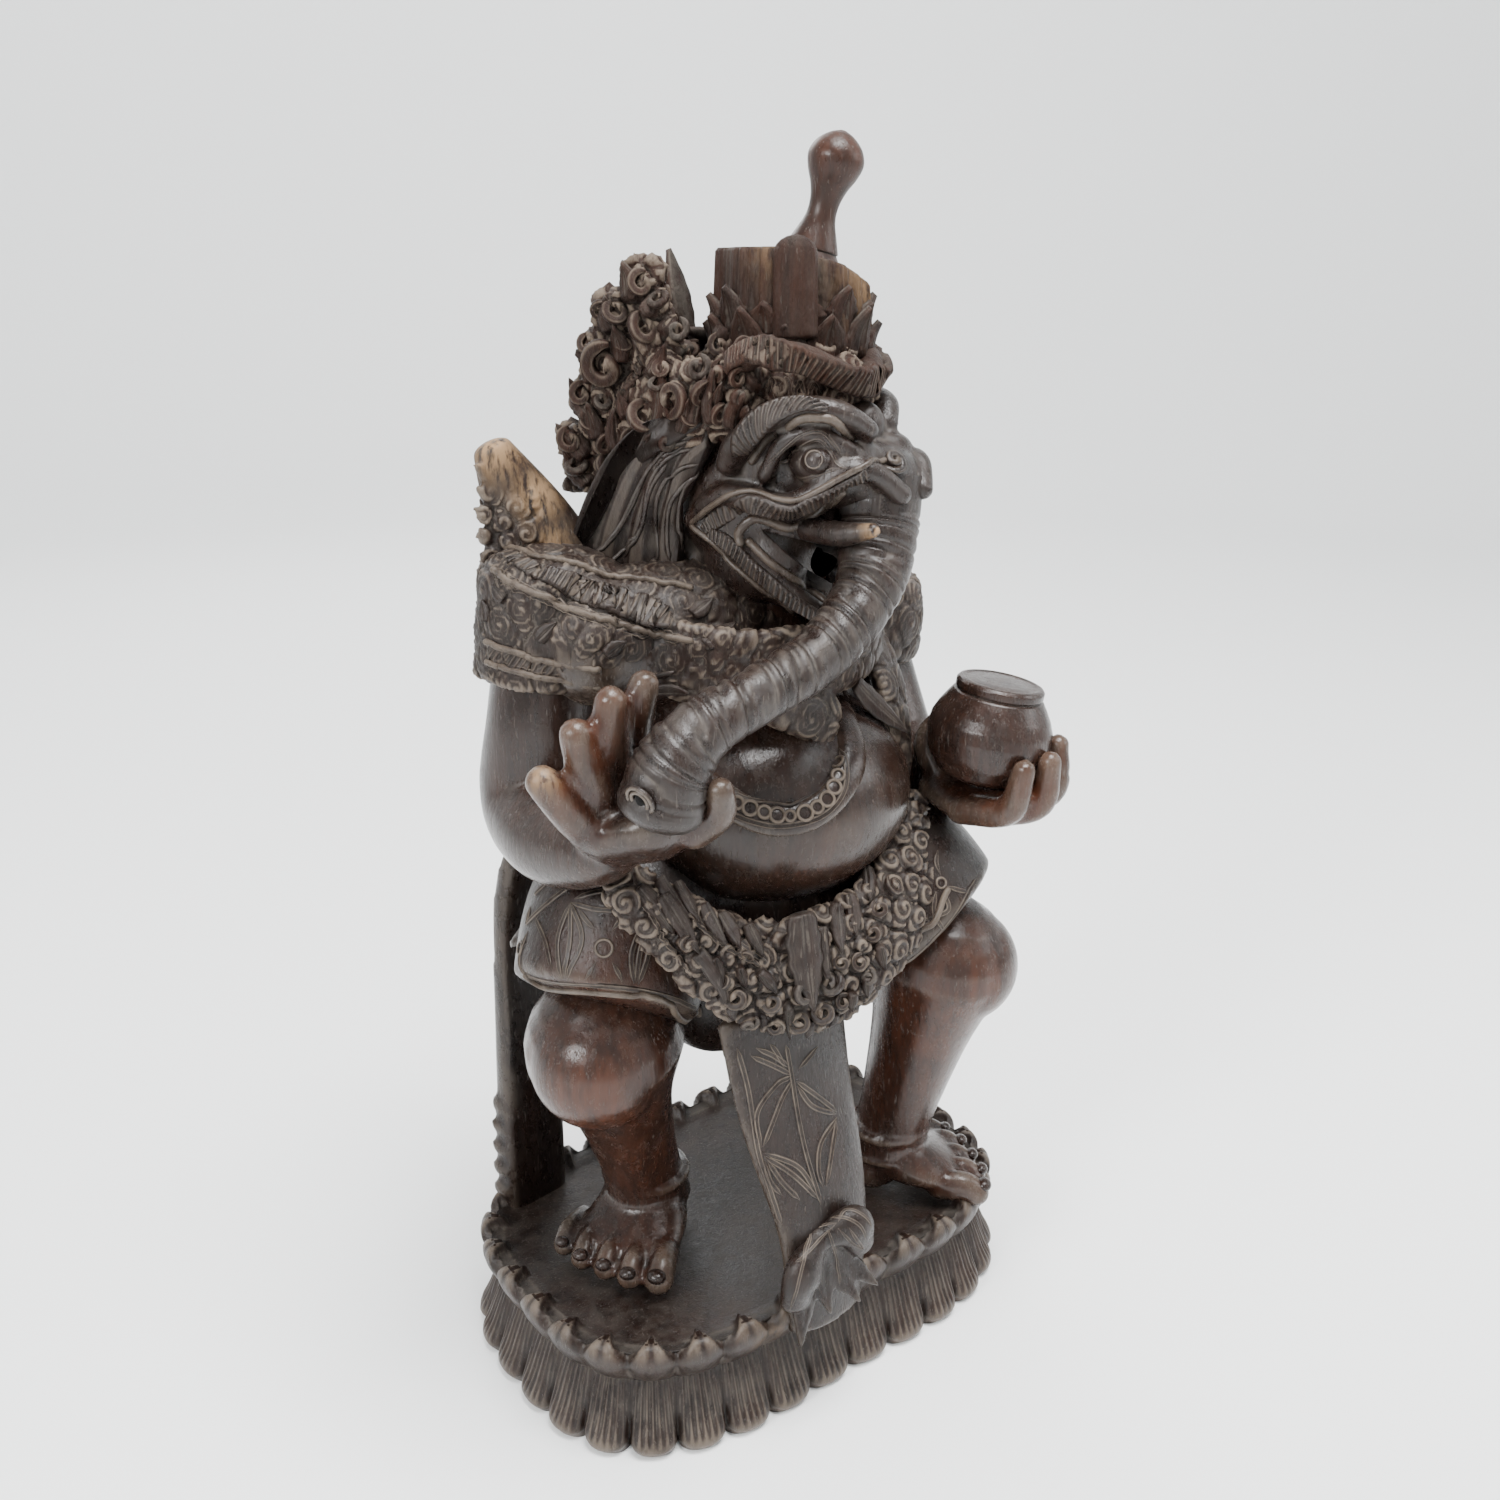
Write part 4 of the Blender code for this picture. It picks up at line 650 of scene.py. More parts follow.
def leaf(root, tip, out, width, thick=3.2, curl=0.25, rows=18, veins=2):
    """A carved leaf from root to tip, widest below its middle and curling out at its tip. Its upper face
    is a low arch with a sharp middle vein and side grooves; its edge is lightly scalloped."""
    root, tip, out = (np.array(p, float) for p in (root, tip, out))
    t = np.linspace(0, 1, rows)
    length = np.linalg.norm(tip - root)
    out = unit(out)
    rise = (length * curl * (t**2 - 0.35 * np.sin(np.pi * t)))[:, None]
    spine = root * (1 - t)[:, None] + tip * t[:, None] + out * rise
    tangent = unit(np.gradient(spine, axis=0))
    across = unit(np.cross(tangent, out))
    face = unit(np.cross(across, tangent))
    half = width * 0.001 * np.interp(t, [0, 0.12, 0.38, 0.62, 0.85, 1], [0.62, 0.86, 1.0, 0.85, 0.42, 0.05])
    half = half * (1 + 0.07 * np.sin(t * np.pi * 9))
    body = thick * 0.001 * np.interp(t, [0, 0.5, 1], [1.0, 0.95, 0.4])
    v = np.linspace(-1, 1, 15)
    arch = np.sqrt(1 - (v * 0.96) ** 2)
    groove = 0.5 - 0.5 * np.cos(np.pi * (2 * veins + 2) * v)
    midrib = np.exp(-((v / 0.12) ** 2))
    top = arch * (0.82 + 0.18 * (1 - groove)) - 0.28 * midrib
    low = np.linspace(1, -1, 7)[1:-1]
    section = np.concatenate([np.stack([v, top], 1), np.stack([low, -0.6 * np.sqrt(1 - low**2)], 1)])
    rings = (
        spine[:, None]
        + across[:, None] * (half[:, None] * section[:, 0])[..., None]
        + face[:, None] * (body[:, None] * section[:, 1])[..., None]
    )
    deep = 1.25 * groove * arch + midrib * 0.5 + 0.4 * np.abs(v) ** 6 - 0.5
    # The underside is marked deep, so it takes dust and painted shade; the ridges of the upper face are
    # painted lighter, as wear and as painted highlight.
    return skin(rings, np.clip(np.concatenate([deep, np.full(len(low), 0.9)]), -1, 1)[None])


def settled(points, target):
    """Points moved to the nearest place on the target, and the way out of the wood there."""
    cloud = bpy.data.meshes.new("layout")
    cloud.vertices.add(len(points))
    cloud.vertices.foreach_set("co", np.asarray(points, float).ravel())
    marks = bpy.data.objects.new("layout", cloud)
    bpy.context.scene.collection.objects.link(marks)
    wrap = marks.modifiers.new("wrap", "SHRINKWRAP")
    wrap.target = target
    wrap.wrap_mode = "ABOVE_SURFACE"
    found = []
    for offset in (0.0, 0.002):
        wrap.offset = offset
        bpy.context.view_layer.update()
        graph = bpy.context.evaluated_depsgraph_get()
        found.append(corners(marks.evaluated_get(graph).data))
    bpy.data.objects.remove(marks)
    bpy.data.meshes.remove(cloud)
    return found[0], unit(found[1] - found[0])


def incised(target, lines, width=2.0, lip=0.45, spacing=0.0013):
    """Lines cut into the target: along each, a narrow ribbon with a groove between two raised burrs. The
    groove is marked deep, so it takes dust and is darkened as painted shade; the burrs are marked as edges,
    so they are painted lighter, as wear and as painted highlight. Its section has five points: foot, burr,
    groove, burr and foot; the ends taper away."""
    lengths = [np.linalg.norm(np.diff(np.array(p), axis=0), axis=1).sum() for p in lines]
    counts = [max(6, int(length / spacing)) for length in lengths]
    paths = [along(p, n) for p, n in zip(lines, counts)]
    points, outward = settled(np.concatenate(paths), target)
    made, start = [], 0
    for n in counts:
        p, out = points[start:start + n], outward[start:start + n]
        start += n
        tangent = unit(np.gradient(p, axis=0))
        across = unit(np.cross(tangent, out))
        t = np.linspace(0, 1, n)
        taper = np.clip(np.minimum(t, 1 - t) * n / 3, 0.15, 1)
        wide = np.array([-1.25, -0.62, 0.0, 0.62, 1.25, 0.0]) * width * 0.0005
        high = np.array([-0.5, 1.0, -0.15, 1.0, -0.5, -1.6]) * lip * 0.001
        rings = (
            p[:, None]
            + across[:, None] * (taper[:, None] * wide)[..., None]
            + out[:, None] * (taper[:, None] * high)[..., None]
        )
        # Burrs marked as edges, painted lighter as wear and as painted highlight; the groove is darkened as
        # painted shade.
        made.append(skin(rings, np.array([0.3, -0.75, 1.0, -0.75, 0.3, 0.5])[None]))
    return made


def seen(target, pixel_lines):
    """Lines given by pixels of the photograph, laid on the target."""
    return [sight(target, line)[0] for line in pixel_lines]


def hem_roll(target, pixels, radius):
    """A rolled hem: a thin round cord along a line on the target, half sunk in it."""
    p = along(seen(target, [pixels])[0], 60)
    p, out = settled(p, target)
    cord = limb(p + out * radius * 0.0003, [radius] * 2, face=(0.1, 0.2, 1), rows=60, sides=12)
    # The cord is marked as an edge all over, so it is painted lighter, as wear and as painted highlight.
    return (*cord[:3], np.full(len(cord[0]), -0.5))


RIGHT_THIGH = [(-34, 6, 184), (-66, -4, 176), (-86, -17, 146)]
LEFT_THIGH = [(34, -6, 184), (60, -28, 174), (76, -48, 152)]
cloth_forms = [swelling(at(0, 4, 180), (74, 60, 42), -14, 60), swelling(at(-6, 14, 122), (37, 33, 42), 0, 40)]
for path, way in ((RIGHT_THIGH, RIGHT_LEG["out"]), (LEFT_THIGH, LEFT_LEG["out"])):
    cloth_forms.append(limb([at(*p) for p in path], [46, 45, 42], face=(*way, 0.3), rows=40, sides=56,
                            ends=(1, 0.12)))
cloth_forms.append(leaf(at(-84, 18, 196), at(-101, 24, 156), (-0.9, 0.3, 0.2), 20, 7, rows=30))
cloth_forms.append(leaf(at(78, 14, 196), at(96, 18, 156), (0.9, 0.3, 0.2), 20, 7, rows=30))
cloth = hewn("hip_and_thigh_cloth", cloth_forms, grain=0.0025, easing=2)
mark_hollows(cloth, rounds=9)
finish_piece(cloth, CLOTH, rubbed=((-0.1, -0.05, 0.22, 0.03, 0.5),))

cloth_lines = seen(cloth, [
    [(518, 983), (547, 981), (587, 985), (628, 989), (668, 997), (697, 1009)],
    [(571, 902), (558, 939), (563, 979)],
    [(571, 902), (582, 939), (567, 979)],
    [(571, 902), (570, 940), (565, 978)],
    [(646, 915), (632, 953), (634, 984)],
    [(652, 915), (648, 955), (638, 985)],
    [(649, 917), (640, 952), (636, 984)],
    [(574, 899), (601, 891), (633, 891)],
    [(571, 903), (601, 910), (641, 909)],
    [(611, 931), (622, 919), (633, 907)],
    [(596, 931), (586, 920), (578, 908)],
    [(528, 931), (520, 958), (539, 981)],
    [(535, 915), (545, 940), (552, 970)],
    [(596, 962), (590, 972), (585, 980)],
    [(612, 962), (618, 972), (622, 982)],
    [(528, 875), (547, 868), (563, 876), (578, 880)],
    [(513, 888), (530, 888), (552, 880)],
    [(508, 900), (512, 916), (520, 920), (547, 904), (582, 879)],
    [(977, 878), (968, 893), (943, 929), (915, 956), (890, 966)],
    [(941, 876), (936, 862), (938, 850)],
    [(946, 886), (958, 890), (970, 893)],
    [(944, 892), (948, 910), (945, 930)],
    [(936, 891), (934, 912), (942, 931)],
    [(904, 897), (920, 916), (942, 933)],
    [(914, 922), (928, 925), (942, 933)],
    [(933, 884), (920, 878), (905, 880)],
])


def ringlet(centre, outward, radius, thick, lift=0.0, count=28, sides=8):
    """A small ring that lies flat on the surface: a circle about the way out, with a round section."""
    outward = unit(np.array(outward, float))
    first = unit(np.cross(outward, np.array([0.3, 0.1, 1.0])))
    second = np.cross(outward, first)
    a = np.linspace(0, 2 * np.pi, count, endpoint=False)[:, None]
    way = first * np.cos(a) + second * np.sin(a)
    b = np.linspace(0, 2 * np.pi, sides, endpoint=False)
    r = 0.001 * (radius + thick * np.cos(b))
    rings = (
        np.array(centre) + outward * lift * 0.001
        + way[:, None] * r[None, :, None]
        + outward * (0.001 * thick * np.sin(b))[None, :, None]
    )
    # The ring's top is painted lighter, as wear and as painted highlight, and its underside takes dust and
    # painted shade.
    return skin(rings, -0.75 * np.sin(b)[None], closed=True)


def rings_seen(target, spots, thick=0.7):
    """Small rings at pixels of the photograph: x, y and radius in parts."""
    points, outward = sight(target, [s[:2] for s in spots])
    return [ringlet(p, o, s[2], thick) for p, o, s in zip(points, outward, spots)]


cloth_carving = incised(cloth, cloth_lines, width=2.4, lip=0.7)
cloth_carving += rings_seen(cloth, [(604, 948, 3.6), (941, 883, 2.4), (520, 948, 3)])
cloth_carving.append(hem_roll(cloth, [
    (516, 988), (547, 987), (587, 991), (628, 995), (668, 1003), (699, 1014)], 1.5))
cloth_carving.append(hem_roll(cloth, [(985, 884), (975, 898), (949, 935), (920, 962), (891, 974)], 1.5))
lines_on_cloth = mesh_of("incised_lines_of_the_cloth", cloth_carving)
finish_piece(lines_on_cloth, CUT_LINES)


# The apron of scrolls under the belly. Its ground is one curved band cut into scrolls, and on it stand
# larger curls, small leaves and one large hanging leaf, all cut deep and full of grey dust.
APRON_PATH = ((-88, -42, 208), (-68, -62, 187), (-44, -73, 169), (-12, -78, 164), (22, -74, 173),
              (46, -64, 188),
              (62, -46, 214))
apron_ground = hewn("apron_ground", [
    limb([at(*p) for p in APRON_PATH], [10, 16, 22, 26, 23, 20, 13], [8, 9, 9, 9, 9, 9, 7], face=(0, -1, 0.2),
         rows=60, sides=30),
], grain=0.0011, easing=1)
APRON_CURLS = [
    (689, 942, 4.0, 1.3, 90), (706, 944, 3.0, -1.2, 30), (700, 962, 3.4, 1.2, 200),
    (684, 925, 3.0, 1.2, 90), (747, 953, 3.6, 1.3, 160), (761, 962, 3.4, -1.2, 20),
    (727, 982, 3.6, 1.3, 90), (737, 998, 5.4, 1.35, 60), (752, 978, 3.4, -1.2, 120),
    (773, 1003, 4.8, 1.4, 90), (800, 992, 6.0, -1.3, 90), (800, 1022, 4.4, 1.3, 180),
    (824, 1012, 5.4, 1.35, 120), (831, 984, 5.4, -1.35, 60), (842, 962, 4.0, 1.2, 90),
    (859, 962, 3.8, 1.2, 60), (842, 1002, 3.8, 1.2, 10), (868, 978, 3.8, -1.2, 90),
    (874, 932, 4.4, 1.3, 90), (880, 908, 4.0, 1.2, 120), (893, 886, 4.6, 1.3, 90),
    (862, 945, 3.4, -1.2, 120), (748, 1022, 4.2, -1.2, 60), (775, 1028, 3.8, 1.2, 30),
    (716, 968, 3.2, 1.2, 100), (712, 990, 3.4, -1.2, 60), (852, 925, 3.4, 1.2, 45),
    (846, 900, 3.4, -1.2, 20), (868, 892, 3.4, 1.2, 80), (724, 1004, 3.4, 1.2, 60),
    (820, 1032, 3.4, -1.2, 10), (851, 985, 3.2, 1.2, 0), (728, 958, 3.0, 1.2, 0),
    (770, 982, 3.2, -1.2, 0), (660, 905, 2.8, 1.2, 0), (672, 918, 2.8, -1.2, 0),
]
scrollwork(apron_ground, sight(apron_ground, [c[:2] for c in APRON_CURLS])[0],
           spacing=0.0105, depth=0.0030, pitch=0.0040, seed=3)
mark_hollows(apron_ground, rounds=9, reach=0.0009)
finish_piece(apron_ground, DUSTY)


def curl(centre, axis, start, radius, thick, turns=1.25, rise=0.0, rows=34, sides=10):
    """A carved curl: a strip that winds inward by a shrinking radius and ends in a bead, with a groove
    down its back."""
    axis, start = unit(np.array(axis, float)), np.array(start, float)
    start = unit(start - axis * np.dot(start, axis))
    across = np.cross(axis, start)
    t = np.linspace(0, 1, rows)
    a = t * turns * 2 * np.pi
    r = radius * 0.001 * (1 - 0.80 * t)
    spine = (
        np.array(centre)
        + start * (r * np.cos(a))[:, None]
        + across * (r * np.sin(a))[:, None]
        + axis * (rise * 0.001 * np.sin(np.pi * t * 0.6))[:, None]
    )
    half = thick * 0.001 * np.interp(t, [0, 0.1, 0.5, 0.85, 1], [0.35, 0.9, 0.85, 0.8, 1.25])
    tangent = unit(np.gradient(spine, axis=0))
    side = unit(np.cross(tangent, axis))
    up = unit(np.cross(side, tangent))
    b = np.linspace(0, 2 * np.pi, sides, endpoint=False)
    dent = np.exp(-(((np.sin(b) - 1) / 0.12) ** 2)) * np.interp(t, [0.7, 0.9], [0.35, 0.0])[:, None]
    round_ = 1 - dent
    rings = (
        spine[:, None]
        + side[:, None] * (half[:, None] * np.cos(b) * round_)[..., None]
        + up[:, None] * (half[:, None] * 1.25 * np.sin(b) * round_)[..., None]
    )
    caps = [rings[:1] * 0.4 + rings[:1].mean(1, keepdims=True) * 0.6, rings,
            rings[-1:] * 0.4 + rings[-1:].mean(1, keepdims=True) * 0.6]
    # The curl's upper side is painted lighter, as wear and as painted highlight, and its underside takes dust
    # and painted shade.
    deep = -0.9 * np.sin(b)[None] + dent / 0.35 * 0.9
    deep = np.concatenate([deep[:1], deep, deep[-1:]])
    return skin(np.concatenate(caps), np.clip(deep, -0.7, 1))


def curls_seen(target, spots, rise=1.2):
    """Curls at pixels of the photograph: x, y, radius in parts, turns (below zero for a curl that winds the
    other way) and the start's angle in degrees."""
    points, outward = sight(target, [s[:2] for s in spots])
    made = []
    for p, out, (_, _, radius, turns, clock) in zip(points, outward, spots):
        a = math.radians(clock)
        start = np.array([math.cos(a), math.sin(a) * 0.3, math.sin(a)])
        hand = 1 if turns > 0 else -1
        made.append(curl(p, out * hand, start, radius, max(1.3, radius * 0.34), abs(turns), rise * hand))
    return made


def leaves_seen(target, spots, curl_by=0.12, thick=2.4, lift=0.0):
    """Leaves on the target, from root pixel to tip pixel, with half width in parts, raised by lift."""
    roots, out = sight(target, [s[0:2] for s in spots])
    tips, out_tip = sight(target, [s[2:4] for s in spots])
    roots, tips = roots + out * lift, tips + out_tip * lift
    return [leaf(root, tip, way, s[4], thick, curl_by, 14)
            for root, tip, way, s in zip(roots, tips, out + out_tip, spots)]


apron_carving = curls_seen(apron_ground, [c for c in APRON_CURLS if c[2] > 3.5])
apron_carving += leaves_seen(apron_ground, [
    (700, 905, 720, 942, 4.0), (722, 915, 742, 950, 4.0), (745, 925, 762, 955, 3.4),
    (655, 880, 680, 915, 4.0), (675, 885, 700, 925, 3.6), (835, 905, 838, 955, 4.2),
    (850, 895, 858, 940, 4.0), (818, 925, 822, 975, 4.0), (868, 870, 872, 905, 3.6),
    (760, 968, 780, 995, 3.0), (712, 955, 722, 985, 3.0), (740, 965, 745, 990, 2.6),
    (786, 1005, 790, 1036, 3.2), (760, 1012, 764, 1036, 3.0), (812, 1018, 812, 1040, 3.0),
    (836, 1012, 838, 1034, 3.0), (852, 990, 856, 1014, 3.0), (866, 975, 868, 998, 3.0),
    (878, 945, 882, 970, 3.0), (728, 1000, 730, 1020, 3.0), (640, 885, 672, 930, 4.5),
    (660, 895, 700, 950, 4.5), (690, 890, 735, 950, 4.5), (712, 900, 765, 960, 4.5),
    (700, 950, 735, 1000, 4.0), (740, 905, 780, 950, 4.5), (765, 915, 800, 962, 4.5),
], curl_by=0.12, thick=4.4, lift=0.0010)
apron_carving.append(leaf(at(-27, -83, 196), at(-26, -90, 154), (-0.1, -1, 0), 9, 4, 0.05, 40, 3))
apron_carving += incised(apron_ground, seen(apron_ground, [
    [(633, 878), (654, 920), (670, 948), (690, 972)],
    [(662, 872), (686, 912), (724, 946), (765, 968)],
    [(668, 870), (692, 908), (728, 940), (768, 962)],
]), width=2.4, lip=0.7)
apron_scrolls = mesh_of("apron_scrolls", apron_carving)
finish_piece(apron_scrolls, DUSTY)


# The long sash that falls from the apron to the base, incised with leaves along a middle line, and tied at
# its foot in a bow of leaf-ended folds. The last of its lines follows the crack along its left edge.
SASH_PATH = [at(-25, -66, 148), at(-21, -74, 100), at(-15, -87, 44), np.array([-0.013, -0.0878, 0.0451])]
sash = hewn("sash", [
    limb(SASH_PATH, [35, 32, 26, 22], [8, 8, 8, 8], face=(0.1, -1, -0.1), rows=60, sides=44, ends=(0.3, 0.3)),
], grain=0.0018, easing=1)
mark_hollows(sash, rounds=16)
finish_piece(sash, CLOTH)
sash_lines = seen(sash, [
    [(786, 1045), (792, 1080), (805, 1150), (821, 1205)],
    [(751, 1056), (770, 1064), (792, 1075)],
    [(756, 1048), (774, 1056), (790, 1068)],
    [(792, 1076), (776, 1085), (757, 1113), (761, 1148)],
    [(792, 1080), (782, 1098), (772, 1124), (763, 1147)],
    [(796, 1081), (818, 1097), (837, 1112)],
    [(797, 1086), (812, 1106), (836, 1114)],
    [(837, 1117), (821, 1142), (818, 1168), (823, 1187)],
    [(836, 1120), (832, 1148), (826, 1186)],
    [(764, 1156), (792, 1174), (818, 1199)],
    [(765, 1153), (798, 1167), (817, 1195)],
    [(798, 1070), (808, 1058), (818, 1046)],
    [(786, 1070), (776, 1052), (770, 1044)],
    [(764, 1160), (770, 1180), (782, 1196)],
    [(767, 1160), (782, 1182), (800, 1200)],
    [(737, 1048), (748, 1090), (758, 1150), (772, 1220), (784, 1290)],
])
sash_carving = incised(sash, sash_lines, width=2.6, lip=0.8)
knot = at(-24, -95, 38)
bow_forms = [
    swelling(knot, (6, 6, 7), 0, 24),
    limb([knot, at(-34, -99, 29), at(-38, -98, 14)], [5, 10, 8], [4, 7, 5], face=(0, -1, 0), rows=24,
         sides=28),
    limb([knot, at(-8, -99, 42), at(-2, -99, 30)], [5, 10, 7], [4, 7, 5], face=(0, -1, 0), rows=24, sides=28),
]
for x, y, z, wide in ((-39, -98, -8, 8), (-22, -99, 2, 7), (-6, -100, 2, 7), (5, -99, 6, 7)):
    bow_forms.append(leaf(knot, at(x, y, z), (0, -1, 0.2), wide, 5, 0.12, 34, 3))
bow = hewn("sash_bow", bow_forms, grain=0.0010, easing=1)
mark_hollows(bow, rounds=9, reach=0.0009)
finish_piece(bow, CLOTH)
sash_carving += incised(bow, seen(bow, [
    [(822, 1212), (808, 1222), (798, 1240), (795, 1262)],
    [(824, 1216), (814, 1228), (806, 1246), (803, 1266)],
    [(828, 1212), (846, 1210), (864, 1216), (872, 1228)],
    [(830, 1218), (846, 1218), (860, 1226), (866, 1240)],
    [(812, 1230), (802, 1268), (790, 1310)],
    [(828, 1228), (836, 1256), (840, 1286)],
    [(838, 1228), (862, 1248), (878, 1270)],
]), width=1.6, lip=0.5)
finish_piece(mesh_of("sash_lines", sash_carving), CUT_LINES)


# Two upright tails of cloth at the back, which tie the waist to the base. Their outer edges end below in a
# few notched leaves. The back is plain, as on most temple carvings.
tail_forms = []
for side, notches in ((-1, 5), (1, 0)):
    path = [at(side * 62, 38, 200), at(side * 82, 60, 178), at(side * 88, 63, 100), at(side * 90, 64, -6)]
    tail_forms.append(limb(path, [21, 19, 18, 18], [8, 6, 6, 7], face=(0.2 * side, 1, 0), rows=50, sides=36,
                           power=0.4))
    for i in range(notches):
        edge = side * (108 - 0.5 * i)
        tail_forms.append(leaf(at(edge + 2, 63, 4 + 12 * i), at(edge - 2, 64, 10 + 12 * i),
                               (-1, 0.2, 0), 6, 5))
tail_forms.append(limb([at(-66, 30, 200), at(0, 62, 196), at(66, 30, 200)], [22, 24, 22], [9, 9, 9],
                       face=(0, 1, 0),
                       rows=50, sides=28, power=0.6))
tails = hewn("back_cloth_tails", tail_forms, grain=0.0025, easing=1)
mark_hollows(tails, rounds=9)
finish_piece(tails, CLOTH)
plank_lines = []
for side in (-1, 1):
    for inset in (5, 9, 28, 32):
        plank_lines.append([at(side * (104 - inset), 74, z) for z in (158, 120, 80, 40, 4)])
    for z in (20, 50, 80, 110, 140):
        for lean in (-1, 1):
            plank_lines.append([at(side * (86 + 8 * lean), 74, z - 9), at(side * (86 + 1 * lean), 74, z),
                                at(side * (86 + 6 * lean), 74, z + 9), at(side * 86, 74, z + 14)])
for z in (186, 190, 206, 210):
    plank_lines.append([at(x, 76 - abs(x) * 0.45, z) for x in (-58, -30, 0, 30, 58)])
plank_carving = mesh_of("incised_lines_of_the_tails", incised(
    tails, plank_lines, width=2.2, lip=0.5, spacing=0.0030))
finish_piece(plank_carving, CLOTH)


# Torso and arms: a hanging belly, a chest turned to the left, broad shoulders, the right hand open under the
# trunk's tip and the left hand round a lidded jar. All of it is smooth and polished by handling.
HEAD_TURN = 21.0
CHEST_TURN = 13.0


def turned(f, s, z, turn):
    """A point f forward and s to the figure's right, in parts, turned to its left by turn degrees."""
    a = math.radians(turn)
    return at(f * math.sin(a) - s * math.cos(a), -f * math.cos(a) - s * math.sin(a), z)


def chest(f, s, z):
    return turned(f, s, z, CHEST_TURN)


def head(f, s, z):
    return turned(f, s, z, HEAD_TURN)


torso_forms = [
    swelling(at(0, -15, 227), (70, 65, 51), -6, 80),
    swelling(at(0, 4, 276), (60, 48, 50), CHEST_TURN, 60),
    swelling(at(0, 24, 240), (62, 40, 66), 0, 60),
    limb([chest(-8, 80, 304), chest(-2, 34, 302), chest(-2, -40, 298), chest(-8, -78, 292)],
         [26, 34, 34, 24], [26, 30, 30, 25], rows=36, sides=48),
    limb([at(0, 6, 296), at(4, -4, 342)], [40, 36], face=(0, 1, 0), rows=16, sides=48),
]
arm_forms = [
    limb([at(*p) for p in ((-86, 12, 306), (-94, 12, 270), (-98, 17, 234), (-103, -12, 226), (-102, -44, 231),
                           (-96, -62, 241))],
         [27, 25.5, 25, 23, 18, 15], [27, 25.5, 25, 22, 17, 12], face=(-0.6, 0.3, 1), rows=70, sides=44),
    limb([at(-104, -62, 240), at(-90, -74, 244), at(-78, -82, 254)], [19, 23, 15], [10, 11, 8],
         face=(0.2, 0.45, 0.9), rows=20, sides=30),
    limb([at(*p) for p in ((76, 24, 296), (88, 20, 262), (92, 2, 226), (90, -28, 220), (88, -52, 218))],
         [25, 23.5, 23, 18, 15], [25, 23.5, 22, 17, 12], face=(0.6, 0.3, 1), rows=60, sides=40),
    limb([at(82, -46, 221), at(90, -64, 217), at(99, -78, 219)], [17, 24, 19], [9, 9, 8], face=(0, 0.1, 1),
         rows=20, sides=30),
]
RIGHT_FINGERS = (
    ((-112, -62, 244), (-124, -66, 258), (-134, -66, 271), 8.4),
    ((-106, -62, 252), (-116, -68, 272), (-121, -69, 288), 8.2),
    ((-100, -60, 258), (-107, -68, 282), (-107, -71, 299), 8.0),
    ((-92, -58, 264), (-94, -66, 288), (-92, -70, 303), 7.6),
    ((-80, -86, 246), (-76, -96, 256), (-79, -102, 267), 7.4),
)
for root, knuckle, tip, r in RIGHT_FINGERS:
    arm_forms.append(limb([at(*root), at(*knuckle), at(*tip)], [r, r * 0.97, r * 0.8], face=(0, 0.3, 1),
                          rows=18,
                          sides=22))
LEFT_FINGERS = (
    ((74, -70, 217), (82, -92, 222), (84, -98, 242)),
    ((84, -74, 215), (98, -94, 222), (100, -98, 243)),
    ((94, -74, 215), (112, -88, 224), (114, -89, 246)),
    ((98, -66, 217), (117, -72, 228), (119, -73, 248)),
    ((78, -52, 224), (78, -40, 240), (84, -42, 252)),
)
for root, knuckle, tip in LEFT_FINGERS:
    arm_forms.append(limb([at(*root), at(*knuckle), at(*tip)], [7.2, 7, 5.4], rows=18, sides=20))
torso = hewn("torso", torso_forms, grain=0.0030, easing=2)
mark_hollows(torso, rounds=11)
finish_piece(torso, POLISHED, rubbed=((-0.02, -0.09, 0.26, 0.03, 0.25),))
arms = hewn("arms_and_hands", arm_forms, grain=0.0020, easing=2)
mark_hollows(arms, rounds=11)
finish_piece(
    arms, POLISHED,
    rubbed=((-0.134, -0.07, 0.326, 0.02, 1.0), (-0.121, -0.072, 0.345, 0.02, 1.0),
            (-0.107, -0.075, 0.352, 0.02, 1.0), (0.1, -0.09, 0.285, 0.045, 0.8),
            (-0.08, -0.1, 0.315, 0.02, 0.5)),
    bare=((-0.136, -0.072, 0.331, 0.006, 1.0),),
)

JAR_WOOD = wood_finish("jar_wood", dust=0.20, redness=0.36, polish=0.85, marks=0.3, shine=0.34)
JAR_PROFILE = ((-22, 15), (-19, 21), (-11, 26.5), (-1, 28.5), (5, 27.7), (10, 25.6), (15, 22.6), (18, 20.6),
               (18.8, 19.2), (19.8, 20.0), (22.6, 20.0), (23.8, 19.0), (24.2, 17.6), (23.7, 16.0),
               (24.2, 12.0),
               (24.5, 5.0))


def jar():
    """The lidded jar: a profile of heights and radii turned about an axis that leans a little outward."""
    a = np.linspace(0, 2 * np.pi, 72, endpoint=False)
    profile = np.array(JAR_PROFILE, float)
    fine = np.linspace(0, len(profile) - 1, 76)
    z = np.interp(fine, np.arange(len(profile)), profile[:, 0])
    r = np.interp(fine, np.arange(len(profile)), profile[:, 1])
    lean = np.array([0.829, -0.559, 0.0]) * 0.17
    flat = np.stack([np.cos(a), np.sin(a), -lean[0] * np.cos(a) - lean[1] * np.sin(a)], -1)
    axis = np.array([0, 0, 1.0]) + lean
    rings = at(91, -68, 251) + axis * z[:, None, None] * 0.001 + flat[None] * r[:, None, None] * 0.001
    dips = np.interp(z, [18.0, 18.8, 19.8, 23.4, 23.7, 24.1], [0, 0.9, 0, 0, 0.5, 0])
    return skin(rings, dips[:, None])


sweet_jar = mesh_of("sweet_jar", [jar()])
finish_piece(sweet_jar, JAR_WOOD)


